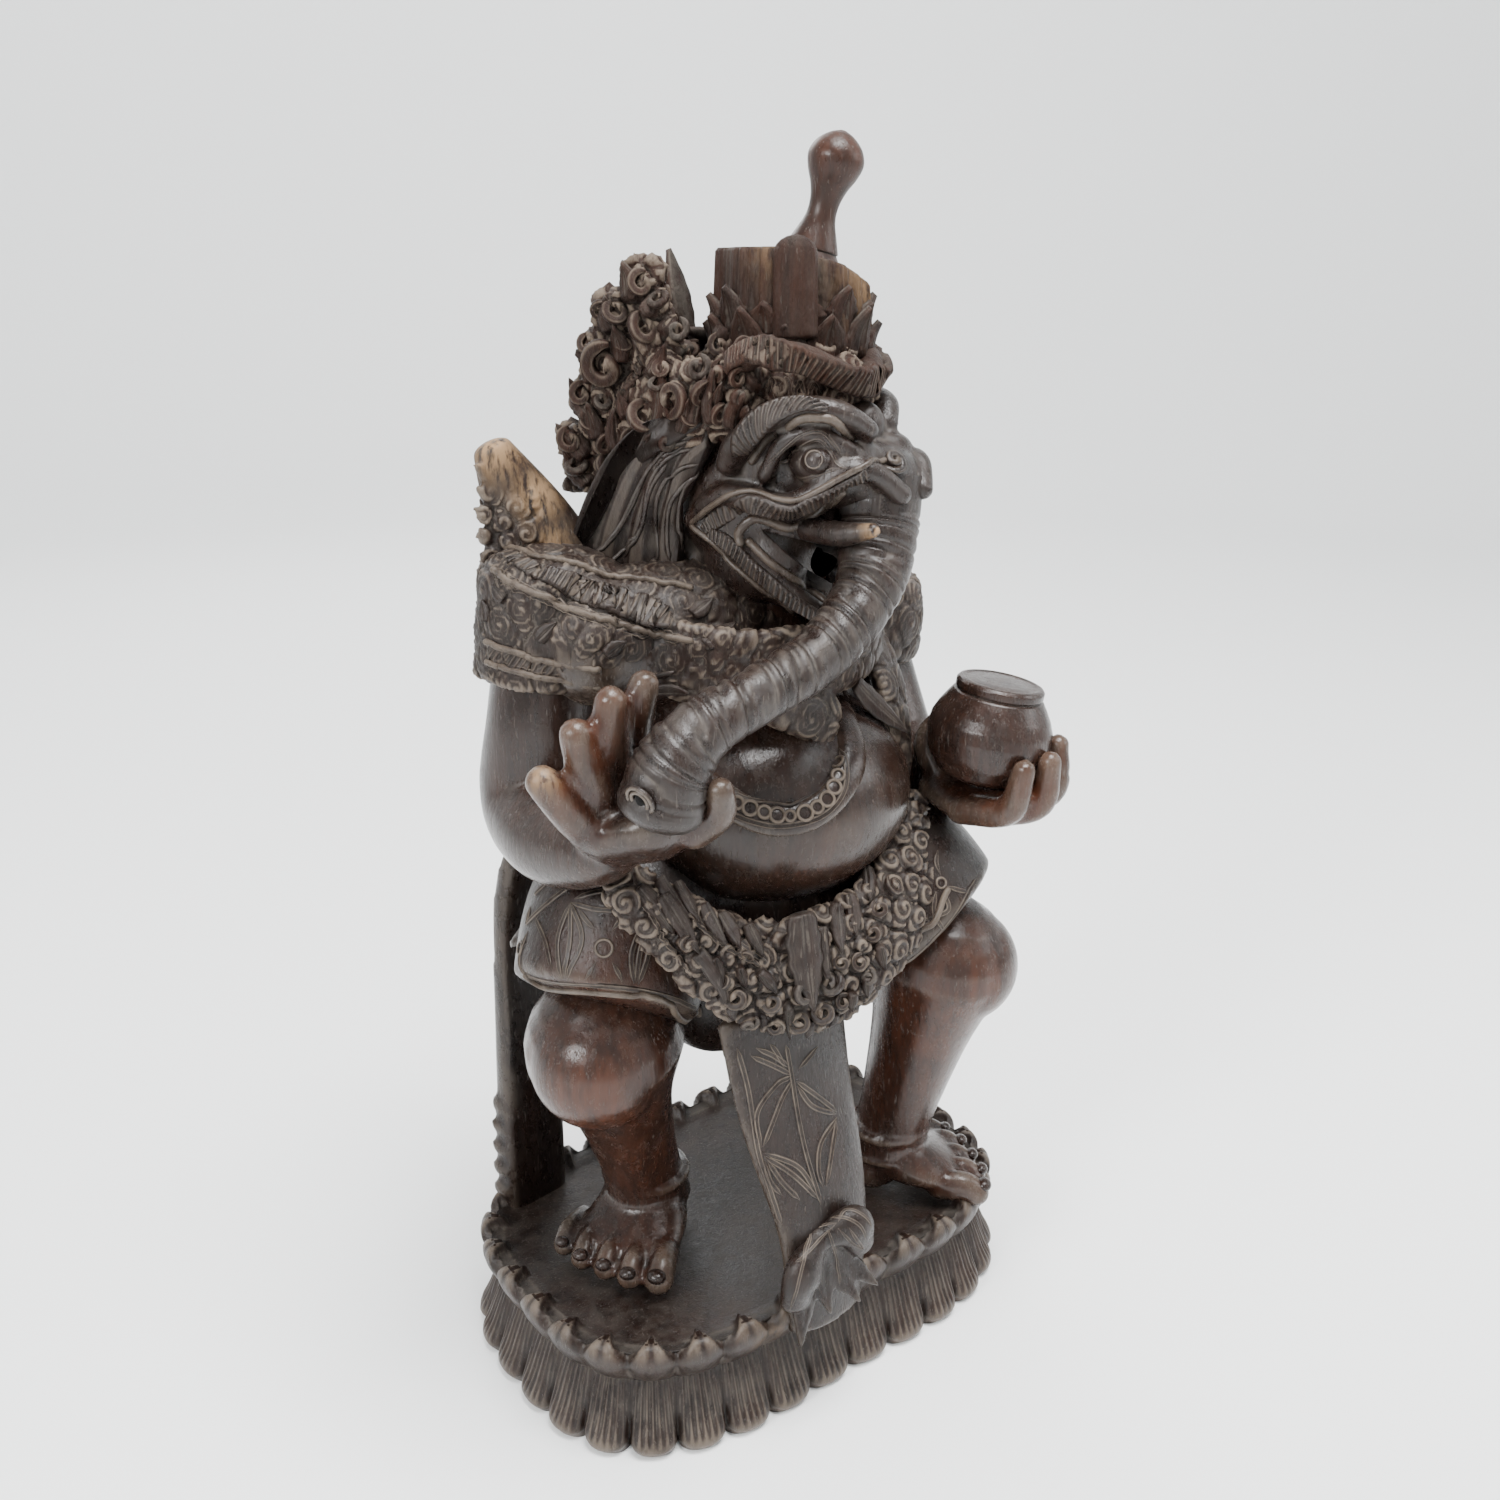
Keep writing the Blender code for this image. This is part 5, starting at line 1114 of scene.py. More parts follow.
# The collar, the carved sleeve band, the necklace with its circles and the strap: low relief laid over
# shoulders, chest and belly. Its edges are pairs of raised lines.
def band_on(target, spots, ribs, lean=0.0, height=0.9, rim=0.35):
    """A ribbed band along a line on the target. Each spot holds the x and y of a pixel of the photograph, or
    the three coordinates of a place, and the half width in parts. The ribs are the size of a sine along the
    band, slanted by lean, and a fine rim closes each edge."""
    spots = np.array(spots, float)
    line = sight(target, spots[:, :2])[0] if spots.shape[1] == 3 else spots[:, :3]
    rows = max(24, ribs * 8)
    path, out = settled(along(line, rows), target)
    half = along(spots[:, -1:], rows)[:, 0] * 0.001
    kernel = np.ones(9) / 9
    out = unit(np.stack([np.convolve(np.pad(out[:, k], 4, "edge"), kernel, "valid") for k in range(3)], 1))
    tangent = unit(np.gradient(path, axis=0))
    across = unit(np.cross(tangent, out))
    v = np.linspace(-1, 1, 15)
    t = np.linspace(0, ribs, rows)[:, None]
    comb = np.abs(np.sin(np.pi * (t + lean * v[None]))) ** 0.8
    inside = np.clip((0.86 - np.abs(v)) * 8, 0, 1)[None]
    edge = np.exp(-(((np.abs(v) - 0.93) / 0.09) ** 2))[None]
    drop = -1.2 * (np.abs(v) > 0.99)[None]
    fade = np.clip(np.minimum(t, ribs - t) * 1.2 + 0.1, 0, 1)
    high = height * (0.35 + 0.65 * comb) * inside + (height + rim) * edge * (1 - inside) + drop
    high = 0.001 * high * fade
    top = path[:, None] + across[:, None] * (half[:, None] * v)[..., None] + out[:, None] * high[..., None]
    foot = half[:, None] * np.array([0.8, -0.8])
    under = path[:, None] - out[:, None] * 0.0016 + across[:, None] * foot[..., None]
    deep = np.concatenate([(1.5 - 2 * comb) * inside - 0.4 * edge, np.full((rows, 2), 0.6)], 1)
    return skin(np.concatenate([top, under], 1), np.clip(deep, -1, 1))


collar_forms = [
    girdle(at(-2, -10, 306), (68, 42), 5, 17, CHEST_TURN, tip=12),
    limb([at(-88, 12, 330), at(-92, 12, 288)], [31, 31.5], face=(0, 1, 0), rows=20, sides=60,
         ends=(0.45, 0.06)),
    girdle(at(80, 23, 290), (29, 29), 6, 20),
    girdle(at(-88, 12, 328), (28, 27), 3.5, 4),
    limb([chest(20, -48, 306), chest(40, -54, 274), chest(56, -44, 236), chest(46, -52, 204)],
         [17, 16, 14, 12], [6, 6, 6, 5], face=(0.6, -0.8, 0.2), rows=40, sides=24),
    limb([chest(16, 52, 308), chest(44, 38, 288), chest(56, 8, 268)], [14, 13, 12], [6, 6, 6],
         face=(0.1, -1, 0.3), rows=30, sides=24),
    limb([chest(-8, 80, 308), chest(-2, 34, 306), chest(-2, -40, 302), chest(-8, -78, 296)],
         [26, 34, 34, 24], [26, 30, 30, 25], rows=36, sides=48),
]
collar = hewn("collar_and_sleeve", collar_forms, grain=0.0015, easing=1)
COLLAR_CURLS = [
    (521, 610, 6.0, 1.6, 180), (683, 601, 4.5, 1.4, 90), (592, 640, 6.5, -1.7, 60),
    (671, 660, 8.0, 1.8, 180), (555, 640, 5.0, 1.4, 90), (632, 650, 5.0, -1.4, 100),
    (500, 625, 4.4, 1.3, 90), (702, 628, 4.5, 1.3, 60), (722, 640, 4.5, -1.3, 60),
    (742, 652, 4.5, 1.3, 10), (715, 662, 4.5, 1.3, 100), (760, 665, 4.5, -1.3, 100),
    (736, 672, 4.0, 1.3, 30), (697, 648, 4.0, -1.3, 10), (702, 676, 4.0, 1.3, 60),
    (775, 655, 4.0, 1.3, 60), (540, 605, 4.2, -1.4, 30), (572, 625, 4.6, 1.4, 10),
    (610, 662, 4.2, 1.4, 60), (646, 678, 4.4, -1.3, 20),
]
scrollwork(collar, sight(collar, [c[:2] for c in COLLAR_CURLS])[0],
           spacing=0.0140, depth=0.0013, pitch=0.0031, seed=5)
mark_hollows(collar, rounds=8, reach=0.0009)
finish_piece(collar, DUSTY)
NECKLACE_PATH = ((-52, -44, 252), (-49, -56, 245), (-40, -67, 238), (-29, -73, 235), (-17, -77, 237),
                 (-5, -77, 243), (7, -72, 252), (14, -61, 261), (21, -42, 271))
necklace = hewn("necklace", [
    limb([at(*p) for p in NECKLACE_PATH], [7] * 3, [3.2] * 3, face=(-0.2, -1, 0.4), rows=60, sides=20),
], grain=0.0012, easing=2)
mark_hollows(necklace, rounds=16)
finish_piece(necklace, POLISHED)
body_carving = rings_seen(necklace, [
    (737, 803, 2.6), (750, 808, 3.1), (764, 812, 2.6), (777, 815, 3.1), (790, 816, 2.2), (805, 813, 3.2),
    (817, 807, 2.6), (827, 799, 3.1), (834, 787, 3.0), (838, 775, 2.6), (838, 762, 2.8),
    (834, 749, 2.4)], 0.85)
body_carving += incised(necklace, seen(necklace, [
    [(725, 811), (750, 821), (774, 826), (798, 824), (820, 817), (836, 804), (845, 787), (846, 765),
     (839, 748)],
    [(732, 793), (750, 800), (774, 804), (798, 802), (815, 792), (824, 776), (827, 752)],
]), width=2.8, lip=0.9)
body_carving += incised(collar, seen(collar, [
    [(494, 567), (530, 588), (582, 610), (631, 626), (687, 637)],
    [(492, 573), (528, 594), (580, 616), (629, 632), (685, 643)],
    [(488, 659), (515, 667), (543, 674), (598, 682)],
    [(484, 640), (510, 650), (545, 660), (596, 668)],
    [(604, 690), (632, 696), (660, 700), (700, 700)],
]), width=2.0, lip=0.6)
body_carving.append(band_on(collar, [
    (500, 552, 3.0), (530, 566, 4.0), (560, 578, 4.5), (590, 592, 6.5), (630, 604, 7.5), (672, 618, 7.0),
], ribs=30, lean=0.2, height=0.8))
body_carving.append(band_on(collar, [
    (486, 651, 3.4), (512, 660, 3.6), (545, 668, 3.6), (597, 676, 3.2),
], ribs=16, lean=0.6, height=0.9))
for pixels in (
    [(494, 570), (530, 591), (582, 613), (631, 629), (690, 641)],
    [(487, 642), (512, 651), (545, 661), (598, 669)],
    [(488, 662), (515, 671), (543, 678), (598, 686)],
    [(604, 694), (632, 700), (660, 703), (702, 702)],
    [(506, 548), (540, 558), (580, 566), (630, 578), (690, 588)],
):
    body_carving.append(hem_roll(collar, pixels, 1.4))
body_carving += leaves_seen(collar, [
    (692, 615, 712, 600, 4.0), (705, 645, 735, 625, 4.5), (640, 690, 672, 668, 4.5),
    (655, 690, 690, 690, 4.0), (605, 655, 625, 640, 3.6), (538, 640, 556, 622, 3.8),
    (505, 600, 493, 585, 3.4), (486, 622, 484, 600, 3.4), (724, 690, 752, 678, 4.0),
    (760, 690, 782, 670, 4.0), (870, 700, 900, 730, 6.0), (880, 740, 905, 770, 6.0),
    (890, 780, 910, 810, 5.5), (868, 770, 892, 800, 5.0),
])
body_carving += incised(collar, seen(collar, [
    [(862, 684), (888, 735), (906, 790), (902, 830), (884, 856)],
    [(852, 690), (878, 738), (896, 792), (894, 828), (878, 850)],
    [(854, 769), (874, 776), (894, 787)],
    [(853, 773), (872, 780), (892, 791)],
]), width=2.0, lip=0.6)
body_ornament = mesh_of("collar_and_necklace_carving", body_carving)
finish_piece(body_ornament, DUSTY)


# Broken stumps of the wings that rose behind the shoulders. The break shows raw wood, and a row of small
# leaf scrolls is left on the outer edge.
stump_forms = [
    limb([at(-84, 22, 318), at(-92, 24, 350), at(-105, 28, 382)], [32, 20, 8.5], [13, 10, 7],
         face=(0.3, 1, 0.1),
         rows=34, sides=30, ends=(1, 0.6)),
    limb([at(82, 30, 300), at(88, 36, 330)], [26, 16], [13, 9], face=(0.3, 1, 0.1), rows=20, sides=30,
         ends=(1, 0.6)),
]
for z in range(322, 376, 9):
    stump_forms.append(leaf(at(-98, 24, z), at(-115, 28, z + 8), (0, -1, 0.6), 6, 5))
stumps = hewn("wing_stumps", stump_forms, grain=0.0012, easing=1)
scrollwork(stumps, np.zeros((0, 3)), spacing=0.0085, depth=0.0020, pitch=0.0034, seed=7,
           keep=lambda p: np.clip((-0.088 - p[:, 0]) / 0.006, 0, 1) * np.clip((0.425 - p[:, 2]) / 0.01, 0, 1))
mark_hollows(stumps, rounds=10, reach=0.0009)
finish_piece(stumps, DUSTY, bare=((-0.107, 0.022, 0.440, 0.012, 1.0), (-0.092, 0.012, 0.42, 0.010, 0.9),
                                  (-0.088, 0.010, 0.40, 0.008, 0.6)))


# The head: skull, cheeks, heavy brows and an open mouth, cut as one with the body. Lips and brows are edged
# with ribbed bands, the tusk's tip is chipped, and the ears are fans with deep ripples.
FACE_WOOD = wood_finish("face_wood", dust=0.62, redness=0.14, polish=0.68, lightness=1.1, marks=0.6,
                        shine=0.36)
# A dark, dull finish for the painted shadow inside the mouth.
THROAT_PAINTED_SHADOW = wood_finish("shadowed_throat_wood", dust=0.0, redness=0.1, polish=0.0, lightness=0.5, shine=0.0)
LEFT_SHARE, LEFT_EYE_BACK = 0.77, 9.0
# The hollow value at which the wood is painted black, as shade in the mouth, throat and nostril.
PAINTED_SHADOW_PIT = 1.6


def face_side(side):
    """The rounded masses of one side of the face; side is 1 for the figure's right and -1 for its left."""
    k = side * (1 if side > 0 else LEFT_SHARE)
    back = 0 if side > 0 else LEFT_EYE_BACK
    upper_lip = [(2, 38, 353), (13, 41, 362), (24, 42, 366), (38, 41, 364), (50, 38, 364), (61, 34, 370),
                 (70, 29, 377), (78, 21, 376), (84, 10, 367)]
    lower_lip = [(7, 39, 350), (22, 37, 344), (33, 34, 335), (44, 28, 325), (53, 18, 315)]
    brow = [(22, 40, 378), (29, 43, 388), (43, 42, 397), (55, 37, 401), (66, 28, 399), (71, 17, 392)]
    socket = [(38, 39, 374), (48, 40, 388), (60, 35, 391), (70, 26, 385), (74, 18, 378)]
    made = []
    for path, wide, deep, inset in (
        (upper_lip, 5.0, 4.6, 0), (lower_lip, 4.6, 4.6, 0), (brow, 6.5, 5.0, back), (socket, 3.2, 3.2, back),
    ):
        made.append(limb([head(f - inset, s * k, z) for f, s, z in path], [wide] * 3, [deep] * 3,
                         face=(0.01, 0, 1), rows=50, sides=20))
    made.append(swelling(head(57 - back, 27 * k, 380), (12, 13, 9.5), HEAD_TURN))
    made.append(swelling(head(13, 27 * k, 358), (15, 25, 27), HEAD_TURN))
    made.append(swelling(head(19, 22 * k, 337), (17, 28, 20), HEAD_TURN))
    made.append(swelling(head(66, 15 * k, 381), (11, 10, 8), HEAD_TURN))
    return made


def tusk(side):
    """A stub of a tusk in the corner of the lip; the near one is whole to its chipped tip."""
    k = side * (1 if side > 0 else LEFT_SHARE)
    spine = [head(50, 24 * k, 352), head(68, 28 * k, 352)]
    if side > 0:
        spine.append(head(83, 29, 355))
    return limb(spine, [5.4, 5.0, 2.8][:len(spine)], rows=24, sides=24)


head_forms = [
    swelling(head(24, 0, 374), (38, 42, 42), HEAD_TURN, 56),
    swelling(head(57, 0, 372), (28, 27, 16), HEAD_TURN, 40),
    swelling(head(60, 0, 392), (9, 9, 10), HEAD_TURN),
    limb([head(-4, 0, 334), head(26, 0, 326), head(48, 0, 316)], [37, 31, 19], [16, 11, 7], rows=24,
         sides=40),
    limb([head(6, 0, 352), head(34, 0, 346), head(58, 0, 350)], [18, 15, 12], [14, 14, 14], rows=20,
         sides=30),
    limb([head(-10, 0, 345), head(-26, 0, 330)], [40, 52], [34, 34], face=(0, 1, 0), rows=20, sides=50),
]
head_forms += face_side(1) + face_side(-1)
skull = hewn("head", head_forms, grain=0.0014, easing=2)
MOUTH = [(762, 530), (781, 535), (808, 541), (832, 544), (846, 549), (848, 574), (832, 584), (808, 570),
         (781, 548)]
rim_of_mouth = sight(skull, MOUTH)[0]
mouth_middle = rim_of_mouth.mean(0)
inward = unit(mouth_middle - np.array(camera.location))
far_outer = [head(f, -50, z) for f, z in ((26, 352), (60, 356), (62, 330), (53, 319))]
far_inner = [head(f, -13, z) for f, z in ((29, 350), (58, 353), (58, 330), (50, 323))]
for rings in ([rim_of_mouth - inward * 0.02, rim_of_mouth + inward * 0.015], [far_outer, far_inner]):
    pocket = mesh_of("mouth_pocket", [skin(np.array(rings))])
    opening = skull.modifiers.new("mouth", "BOOLEAN")
    opening.operation = "DIFFERENCE"
    opening.solver = "EXACT"
    opening.object = pocket
    baked(skull)
    bpy.data.objects.remove(pocket)
mark_hollows(skull, rounds=20)
places = corners(skull.data)
deeper = np.clip(((places - mouth_middle) @ inward - 0.003) / 0.004, 0, 1)
level = np.empty(len(places))
skull.data.attributes["hollow"].data.foreach_get("value", level)
# Painted shade: deep inside the mouth the hollow is raised to the pit value, so the wood there is painted
# black.
shaded = deeper * near(places, ((*(mouth_middle + inward * 0.010), 0.022, PAINTED_SHADOW_PIT),))
skull.data.attributes["hollow"].data.foreach_set("value", np.maximum(level, shaded))
finish_piece(skull, FACE_WOOD)


def pit(form):
    """The form's shell, painted black all over as shade."""
    return (*form[:3], np.full(len(form[0]), PAINTED_SHADOW_PIT))


# Painted shadow: a black shell set deep in the mouth, where the throat would lie in shade.
throat = mesh_of("throat", [pit(swelling(mouth_middle + inward * 0.024, (15, 11, 12), HEAD_TURN))])
finish_piece(throat, THROAT_PAINTED_SHADOW)
tusks = mesh_of("tusks", [tusk(1), tusk(-1)])
finish_piece(tusks, FACE_WOOD, bare=((*head(86, 29, 356), 0.006, 1.0),))


def ear(side):
    """A fan of an ear: it springs from behind the cheek and spreads back and down. Between its front edge
    and its rim the sheet is a row of sine ripples, and the rim is thickened."""
    rows, cols = 72, 40
    a = np.linspace(0, 1, rows)[:, None, None]
    front = along([(14, 43, 384), (4, 44, 375), (-2, 44, 360), (-5, 43, 346), (-3, 42, 331)], cols)[None]
    rim = along([(16, 45, 394), (-4, 54, 395), (-22, 60, 380), (-37, 63, 353), (-46, 64, 324)], cols)[None]
    sheet = front * (1 - a) + rim * a
    down = np.linspace(0, 1, cols)[None, :]
    a = a[..., 0]
    wave = np.sin(a * 6.6 * np.pi + 0.7 * np.sin(down * 3))
    sheet[..., 1] += (1.9 * wave - 1.2 * np.abs(wave) ** 3) * (0.35 + 0.65 * down) * (1 - a) ** 0.3
    sheet[..., 2] += 5 * np.sin(np.pi * a) * (1 - down) - 3 * np.sin(np.pi * a) * down
    half = 2.8 + 2.4 * np.exp(-(((1 - a) / 0.07) ** 2)) + 0 * down
    outer, inner = sheet.copy(), sheet.copy()
    outer[..., 1] += half
    inner[..., 1] -= half
    rings = np.concatenate([outer, inner[:, ::-1]], axis=1)
    t = math.radians(HEAD_TURN)
    f, s, z = rings[..., 0], rings[..., 1] * side, rings[..., 2]
    placed = np.stack([f * math.sin(t) - s * math.cos(t), -f * math.cos(t) - s * math.sin(t), z], -1) * 0.001
    placed[..., 2] += BASE_TOP
    deep = np.clip(-wave * 0.7 - 0.1, -0.4, 0.6) * (1 - np.exp(-(((1 - a) / 0.1) ** 2))) + 0 * down
    return skin(placed, np.concatenate([deep, deep * 0 + 0.4], 1))


EAR_WOOD = wood_finish("ear_wood", dust=0.60, redness=0.12, polish=0.60, lightness=1.05, marks=0.6,
                       shine=0.30)
ears = mesh_of("ears", [ear(1), ear(-1)])
finish_piece(ears, EAR_WOOD)

UPPER_BAND = [(703, 531, 2.2), (714, 521, 4.0), (732, 509, 4.6), (752, 505, 4.6), (778, 512, 4.4),
              (794, 512, 4.4), (813, 503, 4.0), (832, 493, 3.6), (850, 482, 3.0), (868, 473, 2.4)]
LOWER_BAND = [(708, 532, 2.2), (722, 540, 3.4), (736, 552, 3.6), (750, 567, 3.6), (767, 581, 3.6),
              (786, 597, 3.4), (802, 608, 3.2), (820, 618, 3.0)]
BROW_BAND = [(740, 456, 3.6), (744, 441, 5.4), (755, 426, 5.6), (770, 414, 5.2), (790, 406, 4.2),
             (808, 404, 3.0), (828, 409, 1.8)]
face_carving = [
    band_on(skull, UPPER_BAND, ribs=34, lean=0.5, height=1.6),
    band_on(skull, LOWER_BAND, ribs=26, lean=-0.6, height=1.6),
    band_on(skull, BROW_BAND, ribs=15, lean=1.3, height=2.2),
]
for pixels, radius in (
    ([(693, 522), (711, 506), (733, 494), (754, 492), (776, 499), (797, 500), (819, 490), (840, 478),
      (861, 468), (884, 461)], 1.3),
    ([(693, 526), (714, 543), (728, 559), (749, 578), (770, 594), (792, 610), (814, 624)], 1.3),
    ([(740, 543), (739, 533), (746, 523), (756, 518), (770, 521), (785, 526), (798, 525), (812, 516),
      (828, 503), (842, 491)], 2.1),
    ([(749, 542), (770, 562), (792, 578), (811, 593), (827, 604)], 1.8),
    ([(752, 460), (773, 435), (794, 421), (819, 417), (837, 422), (851, 437)], 1.9),
):
    face_carving.append(hem_roll(skull, pixels, radius))
face_carving += incised(skull, seen(skull, [
    [(773, 471), (789, 458), (805, 444), (819, 440), (829, 450), (837, 463), (848, 470)],
    [(766, 466), (783, 450), (801, 436), (820, 432), (834, 444), (842, 457)],
    [(792, 479), (808, 478), (824, 472), (840, 468)],
    [(800, 470), (799, 461), (804, 453)],
    [(806, 471), (803, 462), (808, 452)],
    [(740, 545), (752, 560), (770, 576), (800, 600), (822, 614)],
    [(749, 541), (770, 560), (790, 576), (808, 590)],
]), width=1.6, lip=0.5)
eye_place, eye_out = sight(skull, [(815, 460)])
face_carving.append(swelling(eye_place[0] - eye_out[0] * 0.0035, (6.4, 6.4, 5.6), 0, 40))
face_carving += [ringlet(eye_place[0], eye_out[0], r, 0.5, 1.6) for r in (1.3, 3.4)]
face_carving += curls_seen(skull, [(893, 462, 5.4, 1.3, 200)])
face_carving += incised(ears, seen(ears, [
    [(711, 452), (679, 452), (658, 468), (647, 492), (642, 525), (628, 546), (607, 565)],
    [(701, 463), (677, 471), (658, 495), (655, 525), (658, 551), (651, 565)],
    [(690, 440), (665, 450), (645, 475), (632, 505), (615, 535), (592, 558)],
    [(700, 470), (684, 490), (678, 520), (682, 550)],
    [(668, 462), (650, 490), (640, 530), (622, 560)],
    [(684, 446), (654, 462), (636, 492), (622, 522), (600, 552)],
    [(690, 478), (670, 505), (667, 540), (670, 562)],
]), width=1.8, lip=0.6)
face_lines = mesh_of("face_bands_and_lines", face_carving)
finish_piece(face_lines, FACE_WOOD)


# The trunk, raised and swung to the figure's right, ends at the open hand. Twenty-seven rings cross its back,
# while its underside is plain and lighter. The tip is a bulb with one round nostril.
TRUNK_RINGS = 27
TRUNK_PATH = [head(66, 0, 370), at(22, -66, 352), at(16, -72, 334), at(1, -78, 319), at(-22, -84, 306),
              at(-52, -90, 298), at(-78, -92, 290), at(-92, -91, 277), at(-97, -89, 261)]


def trunk():
    """The trunk: an oval carried along its path. Over the back and sides its radius swells between rings by
    the size of a sine, which fades out towards the underside and at both ends."""
    rows, sides = TRUNK_RINGS * 12, 48
    path = along(TRUNK_PATH, rows)
    girth = along([20, 18, 15, 13, 12, 11.5, 12.5, 15.5, 17], rows) * 0.001
    t = np.linspace(0, 1, rows)
    tangent = unit(np.gradient(path, axis=0))
    across = unit(np.cross(tangent, np.array([0, -0.3, 1.0])))
    up = unit(np.cross(across, tangent))
    a = np.linspace(0, 2 * np.pi, sides, endpoint=False)
    slant = 0.54 * np.cos(a)[None]
    ringed = np.sin(np.pi * np.clip((t - 0.05) / 0.93, 0, 1)) ** 0.4
    back = np.clip(0.70 + 0.75 * np.sin(a), 0, 1)[None]
    drift = 0.30 * np.sin(t * 43) + 0.22 * np.sin(t * 91 + 1)
    swell = np.abs(np.sin(np.pi * (TRUNK_RINGS * t[:, None] + drift[:, None] + slant))) ** 0.42
    depth = (2.5 + 0.9 * np.sin(t * 67))[:, None] * ringed[:, None] * back
    r = girth[:, None] - 0.001 * depth * (1 - swell)
    rings = (
        path[:, None]
        + across[:, None] * (r * np.cos(a))[..., None]
        + up[:, None] * (r * np.sin(a))[..., None]
    )
    caps = np.radians([20, 38, 56, 72, 84])
    shrunk = (rings[-1] - path[-1])[None] * np.cos(caps)[:, None, None]
    tip = path[-1] + shrunk + tangent[-1] * girth[-1] * 0.55 * np.sin(caps)[:, None, None]
    rings = np.concatenate([rings, tip])
    deep = np.concatenate([(1.5 - 1.8 * swell) * ringed[:, None] * back, np.zeros((len(caps), sides))])
    return skin(rings, np.clip(deep, -0.3, 1))


raised_trunk = mesh_of("trunk", [trunk()])
(tip_place,), (tip_out,) = sight(raised_trunk, [(641, 800)])
finish_piece(raised_trunk, FACE_WOOD)
# Painted shadow: a black swelling sunk in the nostril.
nostril_forms = [pit(swelling(tip_place - tip_out * 0.0012, (3.0, 2.6, 3.4), 0, 30))]
nostril_forms += [ringlet(tip_place, tip_out, r, 1.0, 0.5) for r in (3.8, 5.8)]
finish_piece(mesh_of("nostril_rim", nostril_forms), FACE_WOOD)


# The crown: a ribbed diadem over the brow, wings of scrolls behind the ears, tiers of upright leaves, and the
# core, whose top has broken off along the grain and shows weathered end wood.
CROWN_WOOD = wood_finish("weathered_crown_wood", dust=0.80, redness=0.34, polish=0.15, lightness=1.2,
                         marks=1.0,
                         bump=0.0014, shine=0.12)
LEAN_WAY = np.array([0.829, -0.559])
CORE, CORE_FOOT, CORE_TOP, FINIAL_LEAN = (17, -12), 418, 461, 15.0


def crown_core():
    """The core: a round post whose top plane falls away towards the figure's left. Its side is split into
    flat splinters by a stepped wave, and one deep slit runs down the front."""
    sides = 180
    a = np.linspace(0, 2 * np.pi, sides, endpoint=False)
    around = np.stack([np.cos(a), np.sin(a)], -1)
    centre = head(*CORE, 0)
    facets = 1.5 * np.round(np.sin(a * 13 + 1.3 * np.sin(a * 5)))
    facets = facets + 0.7 * np.round(np.sin(a * 37 + np.sin(a * 9)))
    slit = 3.2 * np.exp(-((np.angle(np.exp(1j * (a - 4.05))) / 0.045) ** 2))
    rings, deep = [], []
    for height, radius in ((0, 34), (0.2, 32.6), (0.4, 32), (0.6, 31.4), (0.8, 31), (0.97, 30.6), (1, 29.4),
                           (1, 20), (1, 10)):
        r = radius - (facets * 0.9 + slit * 1.4) * (radius > 25)
        u = (around @ LEAN_WAY) * r
        fall = math.tan(math.radians(FINIAL_LEAN)) * np.clip(u + 5, 0, 25) + 0.6 * np.maximum(u - 20, 0)
        z = CORE_FOOT + (CORE_TOP - fall - CORE_FOOT) * height
        plan = centre[:2] + around * r[:, None] * 0.001
        rings.append(np.concatenate([plan, (z * 0.001 + BASE_TOP)[:, None]], 1))
        deep.append(np.clip(slit / 3 + 0.3 * (facets > 0.5), 0, 1) * (radius > 25))
    return skin(np.array(rings), np.array(deep))


WING_BLOCKS = ((-33, 42, 434, 7, 10), (-41, 43, 416, 7, 11), (-47, 44, 401, 6, 6), (-54, 45, 383, 7, 6),
               (-51, 45, 369, 6, 6))


def block(f, s, z, long, deep, tall):
    """A squared block of the crown, turned with the head, given its middle and half sizes in parts."""
    rings = [
        [head(f + i * long, s + j * deep, z + k * tall) for i, j in ((-1, -1), (1, -1), (1, 1), (-1, 1))]
        for k in (-1, 1)
    ]
    return skin(np.array(rings))


crown_forms = [swelling(head(18, -2, 398), (40, 42, 34), HEAD_TURN, 56)]
for side in (1, -1):
    facing = (-0.934 * side, -0.358 * side, 0)
    share = side * (1 if side > 0 else LEFT_SHARE)
    wing = [head(f, s * side, z) for f, s, z in ((-41, 41, 366), (-41, 43, 390), (-37, 43, 416),
                                                 (-35, 41, 436))]
    crown_forms.append(limb(wing, [12, 13, 12, 9], [9, 9, 9, 7], face=facing, rows=36, sides=30))
    temple = [head(f, s * share, z) for f, s, z in ((-28, 44, 388), (-10, 46, 396), (10, 43, 402),
                                                    (30, 40, 403))]
    crown_forms.append(limb(temple, [13, 16, 16, 12], [8, 8, 8, 6], face=facing, rows=36, sides=30))
    crown_forms.append(swelling(head(-24, 38 * side, 380), (10, 18, 24), HEAD_TURN))
    for f, s, z, long, tall in WING_BLOCKS:
        crown_forms.append(block(f, s * side, z, long, 8, tall))
    inner = [head(-18, 36 * side, 392), head(-26, 36 * side, 420), head(-26, 38 * side, 436)]
    crown_forms.append(limb(inner, [26, 22, 10], [10, 9, 7], face=facing, rows=30, sides=30))
    horn = [head(-12, 40 * side, 404), head(-17, 40 * side, 430)]
    if side > 0:
        horn.append(head(-23, 39, 454))
    crown_forms.append(limb(horn, [13, 10, 8][:len(horn)], [9, 8, 7][:len(horn)], face=facing, rows=24,
                            sides=28,
                            ends=(0.6, 0.4)))
cap = hewn("crown_cap_and_wings", crown_forms, grain=0.0013, easing=1)
